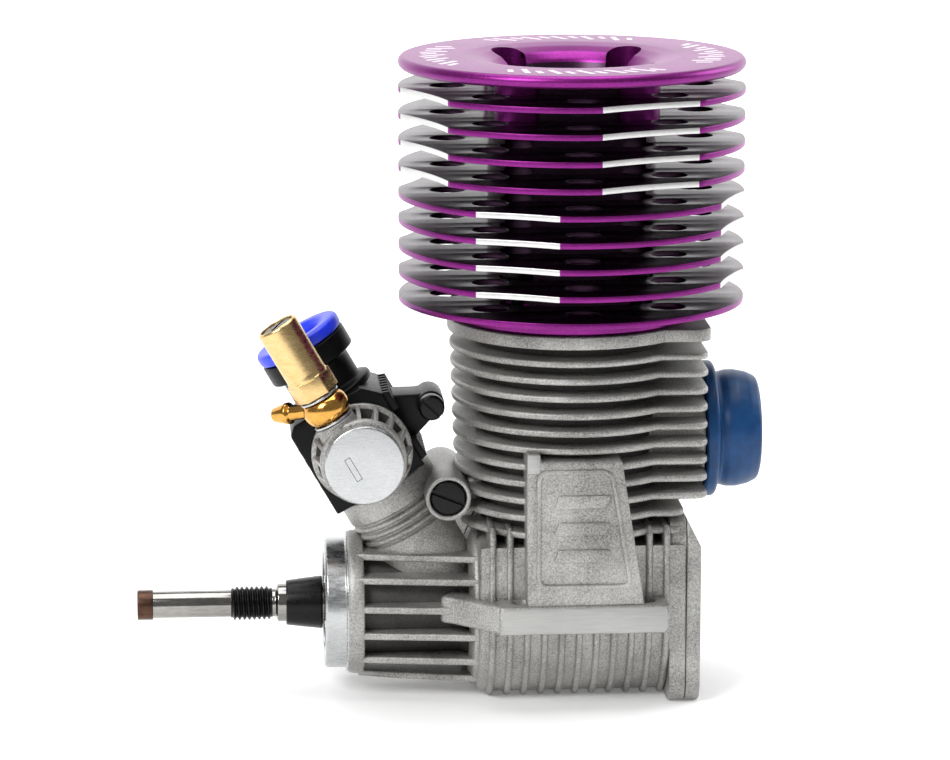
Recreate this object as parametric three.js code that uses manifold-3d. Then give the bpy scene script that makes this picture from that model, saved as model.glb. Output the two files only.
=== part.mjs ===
// A rear-exhaust two-stroke model glow engine with a slide carburettor.
//
// Millimetres, Z up. The crankshaft lies along X with its threaded nose at -X, the exhaust
// leaves at +X, and the fuel inlet and needle are on the -Y side. Everything is drawn about
// the point where the crankshaft axis meets the cylinder axis, and the finished group is
// then moved so that the engine stands on Z = 0 with its bounding box centred on X and Y.

import * as THREE from 'three';
import { mergeVertices } from 'three/addons/utils/BufferGeometryUtils.js';
import Module from 'manifold-3d';

const wasm = await Module();
wasm.setup();

// ---------------------------------------------------------------- driving dimensions

const FIT = 0.05; // clearance between pieces that are pushed or screwed together
const SLIP = 0.1; // clearance between pieces that move on one another
const PAST = 1; // how far a cutting tool runs past the face that it opens

const ROUND = { head: 18, large: 16, medium: 12, small: 8, tiny: 6 }; // sides to a circle

const BEARING_WIDTH = 6.0;
const REAR_BEARING = { name: 'rear_bearing', from: -17.3, bore: 7.0, outer: 12.7, race: 1.3, balls: 7 };
const FRONT_BEARING = { name: 'front_bearing', from: -45.3, bore: 3.5, outer: 9.5, race: 1.45, balls: 6 };

const STROKE = 17.6;
const CRANK_THROW = STROKE / 2;
const PISTON_RADIUS = 9.0;
const ROD_LENGTH = 31.2;
const PIN_AT_TOP = CRANK_THROW + ROD_LENGTH; // wrist pin height at top dead centre
const CROWN_AT_TOP = PIN_AT_TOP + 8.5;
const ROD_SWING = Math.asin(CRANK_THROW / ROD_LENGTH);

const SHAFT = {
  tip: -79.8,
  pilotStart: -76.9,
  threadStart: -62.6,
  threadEnd: -55.0,
  noseStart: -54.2,
  shoulder: -34.5,
  journalStart: -32.5,
  tipRadius: 2.75,
  pilotRadius: 2.5,
  threadRadius: 3.1,
  noseRadius: 3.5,
  journalRadius: 7.0,
  webFront: -11.0,
  webRear: -3.2,
  webRadius: 13.3,
  pinRadius: 2.9,
  pinEnd: -2.4,
  gasBore: 4.6,
  gasBoreStart: -30.0,
  window: { from: -29.5, to: -21.5, half: 4.2, low: 1.0, high: 8.0 },
  cheek: { inner: 6.5, outer: 15.0, low: 1.0 }, // cut away beside the pin for balance
};

const CASE = {
  front: -17.9,
  rear: 19.8,
  top: 14.0,
  skinRadius: 17.2,
  skinFloor: -15.6,
  ribRadius: 18.0,
  ribFloor: -16.3,
  ribThickness: 1.1,
  ribPitch: 3.155,
  ribFirst: -15.5,
  ribCount: 11,
  uprights: [0, 1, 9, 10], // ribs that run on up the side of the case
  uprightTop: 17.0,
  chamberRadius: 13.9,
  rearFlange: 3.0,
  flangeHalfWidth: 16.3,
  flangeTop: 18.7,
  flangeCorner: 4.0,
};

const NOSE = {
  ringFront: -45.5,
  ringRadius: 12.1,
  lipFront: -41.6,
  flangeFront: -40.8,
  flangeRear: -38.4,
  frontRadius: 13.2,
  rearRadius: 15.8,
  coreRadius: 10.6,
  shoulder: -20.4,
  ribHeights: [10.4, 6.7, 1.7, -3.3, -8.4, -12.6],
  ribThickness: 1.3,
};

const BARREL = {
  coreRadius: 17.5,
  deck: 53.6,
  bandBottom: 51.2,
  bandRadius: 22.6,
  bandRearFace: 24.0,
  finFirst: 16.5,
  finPitch: 3.2,
  finCount: 11,
  finThickness: 1.25,
  finRadius: 21.0,
  finGrowth: 0.12, // each fin is this much wider than the one below it
  rearFace: 23.6,
  shortRearFace: 19.4,
  shortFins: 2,
  rearHalfWidth: 16.5,
  rearCorner: 2.5,
};

const LUG = {
  front: -14.7,
  rear: 16.1,
  bottom: -0.85,
  top: 4.4,
  halfSpan: 23.0,
  root: 14.0,
  corner: 1.2,
  holeX: [-10.4, 12.0],
  holeY: 19.0,
  holeRadius: 1.7,
  gusset: [[-25.0, 14.0], [-19.0, 10.0], [-12.7, 14.0], [-12.7, 23.0], [-14.2, 23.0]],
  gussetInset: 0.2,
};

const PANEL = {
  root: 12.0,
  base: 22.4,
  border: 22.8,
  outline: [[-9.7, 3.9], [11.6, 3.9], [7.3, 31.0], [-7.3, 31.0], [-7.3, 32.5], [-9.9, 32.5]],
  rimOutside: [[-8.0, 7.6], [9.6, 7.6], [5.6, 29.6], [-8.0, 29.6]],
  rimInside: [[-7.3, 8.3], [-7.3, 28.9], [4.9, 28.9], [8.9, 8.3]],
  bar: [[-5.0, 0.0], [4.5, 0.0], [5.5, 2.2], [-4.0, 2.2]],
  barHeights: [12.5, 17.5, 22.5],
};

const TRANSFER = { half: 6.5, inner: 9.0, outer: 15.0, bottom: 4.0, top: 38.0 };
const ROD_RELIEF = { radius: 4.9, from: -2.9, to: 3.2 };

const EXHAUST = {
  height: 31.8,
  stubRadius: 11.5,
  ductRadius: 8.2,
  ductStart: 9.5,
  face: 23.8,
  capEnd: 34.4,
};

const LINER = {
  bottom: 15.0,
  top: 52.4,
  inner: 9.1,
  outer: 10.9,
  flangeRadius: 12.6,
  flange: 2.0,
  seat: 2.0,
  portHalf: 5.5,
  exhaustPort: 6.5,
  transferHalf: 5.0,
  transferPort: 4.8,
  notchHalf: 3.6,
  notch: 7.0,
};

const HEAD = {
  radius: 31.4,
  topMiddle: 99.95,
  pitch: 4.75,
  finCount: 10,
  finThickness: 1.05,
  topThickness: 2.4,
  coreRadius: 15.0,
  bossRadius: 22.0,
  seat: 60.0,
  screwOffset: 10.5,
  accessRadius: 3.3,
  holeCount: 8,
  holeCircle: 22.5,
  holeRadius: 3.25,
  dishRadius: 19.1,
  bowlRadius: 13.4,
  boreRadius: 9.0,
  recess: 12.6,
  plugHole: 6.25,
  flatUpper: { phase: 25.5, distance: 29.5 },
  flatLower: { phase: 67.5, distance: 30.35 },
};
const HEAD_BASE = HEAD.topMiddle - HEAD.pitch * (HEAD.finCount - 1);

// Screws: radii of the shank, its tapped and clearance holes and its head
const HEAD_SCREW = {
  shank: 1.5,
  tapped: 1.6,
  clear: 1.75,
  head: 2.9,
  height: 3.5,
  socket: 3.0,
  end: 44.5,
};
const PLATE_SCREW = {
  shank: 1.15,
  head: 2.3,
  height: 1.4,
  sink: 1.6,
  socket: 2.0,
  end: 12.5,
  circle: 15.75,
};

const CARB = {
  tilt: -30, // degrees about Y, so the intake leans towards the nose
  offset: -18.3, // distance of the intake axis from the origin, across the tilt
  slideHeight: 45.6, // along the intake axis
  bossRadius: 9.25,
  bossTop: 37.4,
  grooves: [27.4, 29.2, 31.0],
  grooveDepth: 0.55,
  grooveWidth: 0.9,
  boreRadius: 7.3,
  socketFloor: 21.5,
  ductEnd: 13.0,
  clamp: [9.3, 30.75],
  clampRadius: 4.15,
  clampHalfLength: 12.3,
  clampBolt: {
    hole: 1.6,
    shank: 1.45,
    head: 3.2,
    headWell: 3.35,
    wellDepth: 2.6,
    nut: 5.4,
    nutWell: 5.7,
  },
  web: { x: [-22.0, -14.0], y: [-5.0, 5.0], z: [8.0, 25.0] }, // joins the boss to the barrel
  bodyBottom: 37.7,
  bodyTop: 56.0,
  bodyLeft: -9.7,
  bodyRight: 8.6,
  bodyHalf: 9.0,
  throat: 4.0,
  slideRadius: 5.3,
  slideSlip: 0.25,
  needle: [-1.0, -14.1],
  idle: [14.9, 46.0],
};

// ------------------------------------------------------------------------- materials

const finish = (color, roughness, metalness) =>
  new THREE.MeshStandardMaterial({ color, roughness, metalness });

const FINISH = {
  cast: finish('#9b978f', 0.55, 0.9),
  machined: finish('#d5d6d6', 0.3, 1.0),
  purple: finish('#7d1f86', 0.35, 0.9),
  steel: finish('#b9b6b2', 0.25, 1.0),
  darkSteel: finish('#2b2a2b', 0.4, 0.9),
  brass: finish('#c39a4b', 0.3, 1.0),
  gold: finish('#d99a2e', 0.2, 1.0),
  bronze: finish('#a9763c', 0.4, 1.0),
  copper: finish('#b96f4b', 0.35, 1.0),
  blackPlastic: finish('#17181a', 0.55, 0.0),
  rubber: finish('#121212', 0.8, 0.0),
  royalBlue: finish('#1f3fe0', 0.45, 0.0),
  steelBlue: finish('#1c5a86', 0.35, 0.0),
};

// ------------------------------------------------------------------- geometry helpers

const radians = THREE.MathUtils.degToRad;

/** A closed geometry as a solid, whichever way round its outline was drawn. */
function solid(geometry) {
  const bare = geometry.clone();
  bare.deleteAttribute('normal');
  bare.deleteAttribute('uv');
  const merged = mergeVertices(bare, 1e-4);
  const position = merged.attributes.position;
  const index = merged.index.array;
  const corner = [new THREE.Vector3(), new THREE.Vector3(), new THREE.Vector3()];
  const triangles = [];
  let volume = 0;
  for (let i = 0; i < index.length; i += 3) {
    const [a, b, c] = index.slice(i, i + 3);
    if (a === b || b === c || c === a) continue;
    triangles.push([a, b, c]);
    corner.forEach((v, k) => v.fromBufferAttribute(position, index[i + k]));
    volume += corner[0].dot(corner[1].cross(corner[2]));
  }
  const ordered = volume < 0 ? triangles.map(([a, b, c]) => [a, c, b]) : triangles;
  return new wasm.Manifold(
    new wasm.Mesh({
      numProp: 3,
      vertProperties: new Float32Array(position.array),
      triVerts: new Uint32Array(ordered.flat()),
    }),
  );
}

const asSolid = (item) => (item.isBufferGeometry ? solid(item) : item);
const join = (...items) => items.map(asSolid).reduce((a, b) => a.add(b));
const cut = (body, ...tools) => tools.map(asSolid).reduce((a, b) => a.subtract(b), asSolid(body));
const common = (a, b) => asSolid(a).intersect(asSolid(b));

/** The surface of a solid as a geometry that three.js can show. */
function surface(item) {
  const mesh = asSolid(item).getMesh();
  const geometry = new THREE.BufferGeometry();
  const points = new Float32Array(mesh.numVert * 3);
  for (let i = 0; i < mesh.numVert; i += 1) {
    points.set(mesh.vertProperties.slice(i * mesh.numProp, i * mesh.numProp + 3), i * 3);
  }
  geometry.setAttribute('position', new THREE.BufferAttribute(points, 3));
  geometry.setIndex(Array.from(mesh.triVerts));
  geometry.computeVertexNormals();
  return geometry;
}

/** Turns a geometry drawn about Y so that it lies along the named axis. */
function along(axis, geometry) {
  if (axis === 'z') return geometry.rotateX(Math.PI / 2);
  if (axis === 'x') return geometry.rotateZ(-Math.PI / 2);
  return geometry;
}

/** Moves a geometry to [a, b], its place across the named axis, and to a distance along it. */
function across(axis, [a, b], distance, geometry) {
  const at = { x: [distance, a, b], y: [a, distance, b], z: [a, b, distance] }[axis];
  return geometry.translate(...at);
}

/** A round bar, or a taper when endRadius differs, from one distance to another. */
function bar(axis, radius, from, to, at = [0, 0], sides = ROUND.small, endRadius = radius) {
  const cylinder = new THREE.CylinderGeometry(endRadius, radius, to - from, sides);
  return across(axis, at, (from + to) / 2, along(axis, cylinder));
}

/** A round hole: its flats, rather than its corners, touch the stated radius. */
const bore = (axis, radius, from, to, at = [0, 0], sides = ROUND.small) =>
  bar(axis, radius / Math.cos(Math.PI / sides), from, to, at, sides);

/** A turned piece from an outline of [radius, distance] points that closes on itself. */
function turned(axis, outline, sides = ROUND.medium, at = [0, 0]) {
  const points = outline.map(([r, d]) => new THREE.Vector2(r, d));
  const closed = outline[0][0] === 0 && outline.at(-1)[0] === 0;
  if (!closed) points.push(points[0].clone());
  return across(axis, at, 0, along(axis, new THREE.LatheGeometry(points, sides)));
}

/** A plain ring of rectangular section. */
const ring = (axis, inner, outer, from, to, at = [0, 0], sides = ROUND.medium) =>
  turned(axis, ringOutline(inner / Math.cos(Math.PI / sides), outer, from, to), sides, at);

const ringOutline = (inner, outer, from, to) => [
  [inner, from],
  [outer, from],
  [outer, to],
  [inner, to],
];

/** A hexagonal bar measured across its flats. */
const hexagon = (axis, flats, from, to, at = [0, 0]) =>
  bar(axis, flats / Math.sqrt(3), from, to, at, 6);

/** A flat outline thickened along an axis; the outline lies in the other two, in order. */
function slab(axis, shape, from, to, curveSegments = 5) {
  const options = { depth: to - from, bevelEnabled: false, curveSegments };
  const geometry = new THREE.ExtrudeGeometry(shape, options);
  if (axis === 'z') return geometry.translate(0, 0, from);
  if (axis === 'y') return geometry.rotateX(Math.PI / 2).translate(0, to, 0);
  const cycle = new THREE.Matrix4().set(0, 0, 1, 0, 1, 0, 0, 0, 0, 1, 0, 0, 0, 0, 0, 1);
  return geometry.applyMatrix4(cycle).translate(from, 0, 0);
}

const polygon = (points) => new THREE.Shape(points.map(([a, b]) => new THREE.Vector2(a, b)));

/** Points round an arc, both ends included. */
const arc = ([a, b], radius, from, to, steps) =>
  Array.from({ length: steps + 1 }, (_, i) => {
    const angle = THREE.MathUtils.lerp(from, to, i / steps);
    return [a + radius * Math.cos(angle), b + radius * Math.sin(angle)];
  });

/** A rectangle with all four corners rounded. */
const rounded = (left, bottom, right, top, radius, steps = 2) =>
  polygon([
    ...arc([right - radius, bottom + radius], radius, -Math.PI / 2, 0, steps),
    ...arc([right - radius, top - radius], radius, 0, Math.PI / 2, steps),
    ...arc([left + radius, top - radius], radius, Math.PI / 2, Math.PI, steps),
    ...arc([left + radius, bottom + radius], radius, Math.PI, 1.5 * Math.PI, steps),
  ]);

function block([x0, x1], [y0, y1], [z0, z1]) {
  const geometry = new THREE.BoxGeometry(x1 - x0, y1 - y0, z1 - z0);
  return geometry.translate((x0 + x1) / 2, (y0 + y1) / 2, (z0 + z1) / 2);
}

/** Mirrors a position across the engine's middle plane, for pieces found on both sides. */
const bothSides = (make) => [-1, 1].map(make);

const carbPlace = new THREE.Matrix4()
  .makeRotationY(radians(CARB.tilt))
  .multiply(new THREE.Matrix4().makeTranslation(CARB.offset, 0, 0));
const tilted = (geometry) => geometry.applyMatrix4(carbPlace);

/** A block from the middle outwards on one side of the engine; side is -1 or 1. */
const sideBlock = (side, x, [inner, outer], z) =>
  block(x, side < 0 ? [-outer, -inner] : [inner, outer], z);

// ------------------------------------------------------------------------- crankcase

/** Half-round underside with a flat foot, in the YZ plane, closed at the given height. */
function underside(radius, floor, top, steps = 4) {
  const foot = Math.asin(-floor / radius);
  return polygon([
    [-radius, top],
    ...arc([0, 0], radius, Math.PI, Math.PI + foot, steps),
    ...arc([0, 0], radius, 2 * Math.PI - foot, 2 * Math.PI, steps),
    [radius, top],
  ]);
}

/** Plan outline of a barrel fin: round in front and cut off square at the exhaust face. */
function finPlan(radius, rearFace, steps = 12) {
  const corner = BARREL.rearCorner;
  const half = BARREL.rearHalfWidth;
  const start = Math.atan2(half, Math.sqrt(radius ** 2 - half ** 2));
  return polygon([
    ...arc([0, 0], radius, start, 2 * Math.PI - start, steps),
    ...arc([rearFace - corner, corner - half], corner, -Math.PI / 2, 0, 2),
    ...arc([rearFace - corner, half - corner], corner, 0, Math.PI / 2, 2),
  ]);
}

/** Skin of the crank chamber with its ribs, the four tall ones and the rear flange. */
function lowerCase() {
  const section = underside(CASE.skinRadius, CASE.skinFloor, CASE.top);
  const rib = underside(CASE.ribRadius, CASE.ribFloor, 0);
  const ribs = Array.from({ length: CASE.ribCount }, (_, i) => {
    const x = CASE.ribFirst + i * CASE.ribPitch;
    return slab('x', rib, x - CASE.ribThickness / 2, x + CASE.ribThickness / 2);
  });
  const tall = rounded(-CASE.ribRadius, 0, CASE.ribRadius, CASE.uprightTop, 1, 1);
  const uprights = CASE.uprights.map((i) => {
    const x = CASE.ribFirst + i * CASE.ribPitch;
    return slab('x', tall, x - CASE.ribThickness / 2, x + CASE.ribThickness / 2);
  });
  const flange = slab('x', rearOutline(), CASE.rear - CASE.rearFlange, CASE.rear);
  return join(slab('x', section, CASE.front, CASE.rear), ...ribs, ...uprights, flange);
}

const rearOutline = () =>
  rounded(
    -CASE.flangeHalfWidth,
    CASE.ribFloor,
    CASE.flangeHalfWidth,
    CASE.flangeTop,
    CASE.flangeCorner,
  );

/** Plan of one level rib: the chord that the nose's taper leaves at that height. */
function noseRibPlan(height) {
  const edge = [0, 0.3, 0.65, 1].map((t) => {
    const radius = THREE.MathUtils.lerp(NOSE.frontRadius, NOSE.rearRadius, t);
    const x = THREE.MathUtils.lerp(NOSE.flangeRear - PAST, CASE.front + PAST, t);
    return [x, Math.sqrt(radius ** 2 - height ** 2)];
  });
  return polygon([...edge, ...edge.map(([x, y]) => [x, -y]).reverse()]);
}

/** Tapered nose: a core, level ribs that follow the taper, and the machined front ring. */
function nose() {
  const half = NOSE.ribThickness / 2;
  const ribs = NOSE.ribHeights.map((z) => slab('z', noseRibPlan(z), z - half, z + half));
  const body = turned('x', [
    [0, NOSE.ringFront],
    [NOSE.ringRadius - 0.5, NOSE.ringFront],
    [NOSE.ringRadius, NOSE.ringFront + 0.5],
    [NOSE.ringRadius, NOSE.lipFront],
    [NOSE.ringRadius + 0.8, NOSE.lipFront],
    [NOSE.frontRadius, NOSE.flangeFront],
    [NOSE.frontRadius + 0.1, NOSE.flangeRear],
    [NOSE.coreRadius, NOSE.flangeRear],
    [NOSE.coreRadius, NOSE.shoulder],
    [NOSE.rearRadius, CASE.front - 0.6],
    [NOSE.rearRadius, CASE.front + PAST],
    [0, CASE.front + PAST],
  ], ROUND.large);
  return join(body, ...ribs);
}

/** Cylinder barrel: core, cooling fins, the band under the head and the exhaust stub. */
function barrel() {
  const core = bar('z', BARREL.coreRadius, 0, BARREL.deck - FIT, [0, 0], ROUND.medium);
  const bandPlan = finPlan(BARREL.bandRadius, BARREL.bandRearFace, 18);
  const band = slab('z', bandPlan, BARREL.bandBottom, BARREL.deck);
  const fins = Array.from({ length: BARREL.finCount }, (_, i) => {
    const z = BARREL.finFirst + i * BARREL.finPitch;
    const rear = i < BARREL.shortFins ? BARREL.shortRearFace : BARREL.rearFace;
    const plan = finPlan(BARREL.finRadius + i * BARREL.finGrowth, rear);
    return slab('z', plan, z - BARREL.finThickness / 2, z + BARREL.finThickness / 2);
  });
  const { stubRadius, ductStart, face, height } = EXHAUST;
  const stub = bar('x', stubRadius, ductStart, face, [0, height], ROUND.large);
  return join(core, band, stub, ...fins);
}

/** One mounting lug with its gusset towards the nose; side is -1 or 1. */
function lug(side) {
  const face = rounded(LUG.front, LUG.bottom, LUG.rear, LUG.top, LUG.corner);
  const [near, far] = side < 0 ? [-LUG.halfSpan, -LUG.root] : [LUG.root, LUG.halfSpan];
  const gusset = polygon(LUG.gusset.map(([x, y]) => [x, side * y]));
  return join(
    slab('y', face, near, far),
    slab('z', gusset, LUG.bottom + LUG.gussetInset, LUG.top - LUG.gussetInset),
  );
}

/** The blank raised panel on the side of the barrel, over a transfer passage. */
function sidePanel(side) {
  const span = (depth) => (side < 0 ? [-depth, -PANEL.root] : [PANEL.root, depth]);
  const rim = polygon(PANEL.rimOutside);
  rim.holes.push(polygon(PANEL.rimInside));
  const bars = PANEL.barHeights.map((height) =>
    polygon(PANEL.bar.map(([x, z]) => [x, z + height])),
  );
  const raised = [rim, ...bars].map((shape) => slab('y', shape, ...span(PANEL.border)));
  return join(slab('y', polygon(PANEL.outline), ...span(PANEL.base)), ...raised);
}

/** The grooved boss that holds the carburettor, with its cross-bolt boss. */
function carbBoss() {
  const { bossRadius, bossTop, grooveDepth, grooveWidth, web } = CARB;
  const chamfer = 0.3;
  const outline = [[0, 8], [bossRadius, 8]];
  for (const groove of CARB.grooves) {
    outline.push([bossRadius, groove]);
    outline.push([bossRadius - grooveDepth, groove + grooveWidth * 0.28]);
    outline.push([bossRadius - grooveDepth, groove + grooveWidth * 0.72]);
    outline.push([bossRadius, groove + grooveWidth]);
  }
  outline.push([bossRadius, bossTop - chamfer], [bossRadius - chamfer, bossTop], [0, bossTop]);
  const half = CARB.clampHalfLength;
  return join(
    tilted(turned('z', outline, ROUND.medium)),
    tilted(bar('y', CARB.clampRadius, -half, half, CARB.clamp, ROUND.medium)),
    block(web.x, web.y, web.z),
  );
}

/** Crank chamber, bearing seats, liner bore, ducts and transfer passages. */
function casePassages() {
  const { inner, outer, half, bottom, top } = TRANSFER;
  const transfers = bothSides((side) => sideBlock(side, [-half, half], [inner, outer], [bottom, top]));
  const reliefY = ROD_LENGTH * Math.sin(ROD_SWING);
  const reliefZ = PIN_AT_TOP - STROKE - ROD_LENGTH * Math.cos(ROD_SWING);
  const rodRelief = bothSides((side) =>
    bore('x', ROD_RELIEF.radius, ROD_RELIEF.from, ROD_RELIEF.to, [side * reliefY, reliefZ]),
  );
  const middle = [0, 0];
  const sides = ROUND.large;
  const frontSeat = FRONT_BEARING.from + BEARING_WIDTH + FIT;
  const linerSeat = LINER.top - LINER.flange - FIT;
  const above = BARREL.deck + PAST;
  return [
    bore('x', CASE.chamberRadius, SHAFT.webFront - 0.25, CASE.rear + PAST, middle, sides),
    bore('x', REAR_BEARING.outer + FIT, REAR_BEARING.from - FIT, SHAFT.webFront, middle, sides),
    bore('x', FRONT_BEARING.outer + FIT, NOSE.ringFront - PAST, frontSeat, middle, sides),
    bore('x', SHAFT.journalRadius + 0.15, frontSeat - PAST, CASE.front + PAST, middle, sides),
    bore('z', LINER.outer + FIT, LINER.seat, above, middle, sides),
    bore('z', LINER.flangeRadius + FIT, linerSeat, above, middle, sides),
    bore('x', EXHAUST.ductRadius, EXHAUST.ductStart, EXHAUST.face + PAST, [0, EXHAUST.height], sides),
    tilted(bore('z', CARB.boreRadius, CARB.socketFloor, CARB.bossTop + PAST, middle, sides)),
    tilted(bore('z', CARB.throat, CARB.ductEnd, CARB.socketFloor + PAST / 2, middle, ROUND.medium)),
    ...transfers,
    ...rodRelief,
  ];
}

/** Holes for every screw that goes into the casting. */
function caseScrewHoles() {
  const lugHoles = bothSides((side) =>
    LUG.holeX.map((x) =>
      bore('z', LUG.holeRadius, LUG.bottom - PAST, LUG.top + PAST, [x, side * LUG.holeY]),
    ),
  ).flat();
  const headScrews = cornerPlaces(HEAD.screwOffset).map((at) =>
    bore('z', HEAD_SCREW.tapped, HEAD_SCREW.end - PAST, BARREL.deck + PAST, at, ROUND.tiny),
  );
  const plateScrews = plateScrewPlaces().map((at) =>
    bore('x', PLATE_SCREW.shank + FIT, PLATE_SCREW.end - 0.5, CASE.rear + PAST, at, ROUND.tiny),
  );
  const { hole, headWell, wellDepth, nutWell } = CARB.clampBolt;
  const end = CARB.clampHalfLength;
  const clamp = [
    bore('y', hole, -end - PAST, end + PAST, CARB.clamp, ROUND.tiny),
    bore('y', headWell, -end - PAST, wellDepth - end, CARB.clamp),
    hexagon('y', nutWell, end - 2.4, end + PAST, CARB.clamp),
  ];
  return [...lugHoles, ...headScrews, ...plateScrews, ...clamp.map(tilted)];
}

const cornerPlaces = (offset) => [
  [-offset, -offset],
  [offset, -offset],
  [offset, offset],
  [-offset, offset],
];

const plateScrewPlaces = () =>
  [-40, 40, 140, 220].map((angle) => [
    PLATE_SCREW.circle * Math.cos(radians(angle)),
    PLATE_SCREW.circle * Math.sin(radians(angle)),
  ]);

function crankcase() {
  const casting = join(
    lowerCase(),
    nose(),
    barrel(),
    ...bothSides(lug),
    ...bothSides(sidePanel),
    carbBoss(),
  );
  return cut(casting, ...casePassages(), ...caseScrewHoles());
}

// ----------------------------------------------------------------- backplate and seals

const PLATE = {
  front: 4.6,
  rear: 22.5,
  spigotRadius: 13.75,
  chamfer: 0.6,
  grooveFrom: 14.6,
  grooveTo: 16.4,
  grooveDepth: 1.2,
  recess: 9.5,
  recessDepth: 2.6,
  slopeFoot: 12.6, // height at which the sloped top meets the rear face
};

function backplate() {
  const flange = slab('x', rearOutline(), CASE.rear + FIT, PLATE.rear);
  const spigot = turned('x', [
    [0, PLATE.front],
    [PLATE.spigotRadius - PLATE.chamfer, PLATE.front],
    [PLATE.spigotRadius, PLATE.front + PLATE.chamfer],
    [PLATE.spigotRadius, PLATE.grooveFrom],
    [PLATE.spigotRadius - PLATE.grooveDepth, PLATE.grooveFrom],
    [PLATE.spigotRadius - PLATE.grooveDepth, PLATE.grooveTo],
    [PLATE.spigotRadius, PLATE.grooveTo],
    [PLATE.spigotRadius, CASE.rear + 0.2],
    [0, CASE.rear + 0.2],
  ]);
  const slope = polygon([
    [CASE.rear - 0.2, CASE.flangeTop + 0.1],
    [PLATE.rear + 0.1, PLATE.slopeFoot],
    [PLATE.rear + 0.1, CASE.flangeTop + 0.1],
  ]);
  const width = CASE.flangeHalfWidth + PAST;
  const { shank, head, sink } = PLATE_SCREW;
  const holes = plateScrewPlaces().flatMap((at) => [
    bore('x', shank + SLIP, CASE.rear - PAST, PLATE.rear + PAST, at, ROUND.tiny),
    bore('x', head + SLIP, PLATE.rear - sink, PLATE.rear + PAST, at),
  ]);
  const recessFloor = PLATE.rear - PLATE.recessDepth;
  return cut(
    join(flange, spigot),
    slab('y', slope, -width, width),
    bore('x', PLATE.recess, recessFloor, PLATE.rear + PAST, [0, 0], ROUND.large),
    ...holes,
  );
}

const backplateSeal = () => {
  const floor = PLATE.spigotRadius - PLATE.grooveDepth;
  const from = PLATE.grooveFrom + 0.15;
  const to = PLATE.grooveTo - 0.15;
  return ring('x', floor + SLIP, CASE.chamberRadius - SLIP, from, to, [0, 0], ROUND.large);
};

function plateScrew(at) {
  const { shank, head, height, sink, socket, end } = PLATE_SCREW;
  const floor = PLATE.rear - sink + FIT;
  return cut(
    join(
      bar('x', head, floor, floor + height, at),
      bar('x', shank, end, floor + FIT, at, ROUND.tiny),
    ),
    hexagon('x', socket, floor + 0.45, PLATE.rear + PAST, at),
  );
}

// ----------------------------------------------------------------- crankshaft, bearings

function crankshaft() {
  const spindle = turned('x', [
    [0, SHAFT.tip],
    [SHAFT.tipRadius - 0.3, SHAFT.tip],
    [SHAFT.tipRadius, SHAFT.tip + 0.3],
    [SHAFT.tipRadius, SHAFT.pilotStart],
    [SHAFT.pilotRadius, SHAFT.pilotStart + 0.2],
    [SHAFT.pilotRadius, SHAFT.threadStart],
    [SHAFT.threadRadius - 0.4, SHAFT.threadStart],
    [SHAFT.threadRadius, SHAFT.threadStart + 0.4],
    [SHAFT.threadRadius, SHAFT.threadEnd],
    [SHAFT.threadRadius - 0.5, SHAFT.threadEnd + 0.2],
    [SHAFT.noseRadius - 0.5, SHAFT.noseStart],
    [SHAFT.noseRadius, SHAFT.noseStart + 0.4],
    [SHAFT.noseRadius, SHAFT.shoulder],
    [SHAFT.journalRadius, SHAFT.journalStart],
    [SHAFT.journalRadius, SHAFT.webFront],
    [SHAFT.journalRadius + 1, SHAFT.webFront],
    [SHAFT.webRadius, SHAFT.webFront + 0.8],
    [SHAFT.webRadius, SHAFT.webRear - 0.5],
    [SHAFT.webRadius - 0.5, SHAFT.webRear],
    [0, SHAFT.webRear],
  ]);
  const pin = bar('x', SHAFT.pinRadius, SHAFT.webRear - 1, SHAFT.pinEnd, [0, CRANK_THROW], ROUND.small);
  const { cheek, window: port, gasBoreStart, webRear } = SHAFT;
  const web = [SHAFT.webFront + 0.8, webRear + PAST];
  const cheeks = bothSides((side) =>
    sideBlock(side, web, [cheek.inner, cheek.outer], [cheek.low, cheek.outer]),
  );
  const gasBore = bore('x', SHAFT.gasBore, gasBoreStart, webRear + PAST, [0, 0], ROUND.medium);
  const window = block([port.from, port.to], [-port.half, port.half], [port.low, port.high]);
  return join(cut(spindle, gasBore, window, ...cheeks), cut(pin, gasBore));
}

const COLLET = { from: -52.5, to: -45.8, small: 4.15, large: 4.9, chamfer: 0.2, slit: 0.7 };

/** Split cone that grips the shaft and centres the flywheel. */
function collet() {
  const { from, to, small, large, chamfer, slit } = COLLET;
  const inner = SHAFT.noseRadius + FIT;
  const cone = turned('x', [
    [inner, from],
    [small - chamfer, from],
    [small, from + chamfer],
    [large, to - chamfer],
    [large - chamfer, to],
    [inner, to],
  ]);
  const length = [from - PAST, to + PAST];
  return cut(cone, block(length, [-large - PAST, 1 - inner], [-slit / 2, slit / 2]));
}

/** Both races of a ball bearing and, between them, its balls held in one cage. */
function bearing({ from, bore, outer, race, balls }) {
  const to = from + BEARING_WIDTH;
  const middle = from + BEARING_WIDTH / 2;
  const inside = bore + FIT + race;
  const outside = outer - race;
  const pitch = (inside + outside) / 2;
  const ballRadius = (outside - inside) / 2 - SLIP;
  const wall = 0.45;
  const cage = ring('x', pitch - wall, pitch + wall, middle - 0.6, middle + 0.6);
  const set = Array.from({ length: balls }, (_, i) => {
    const angle = (2 * Math.PI * i) / balls;
    const ball = new THREE.SphereGeometry(ballRadius, 5, 3);
    return ball.translate(middle, pitch * Math.cos(angle), pitch * Math.sin(angle));
  });
  return {
    innerRace: ring('x', bore + FIT, inside, from, to),
    outerRace: ring('x', outside, outer, from, to),
    ballCage: join(cage, ...set),
  };
}

// ----------------------------------------------------------------- piston, rod, liner

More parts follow.
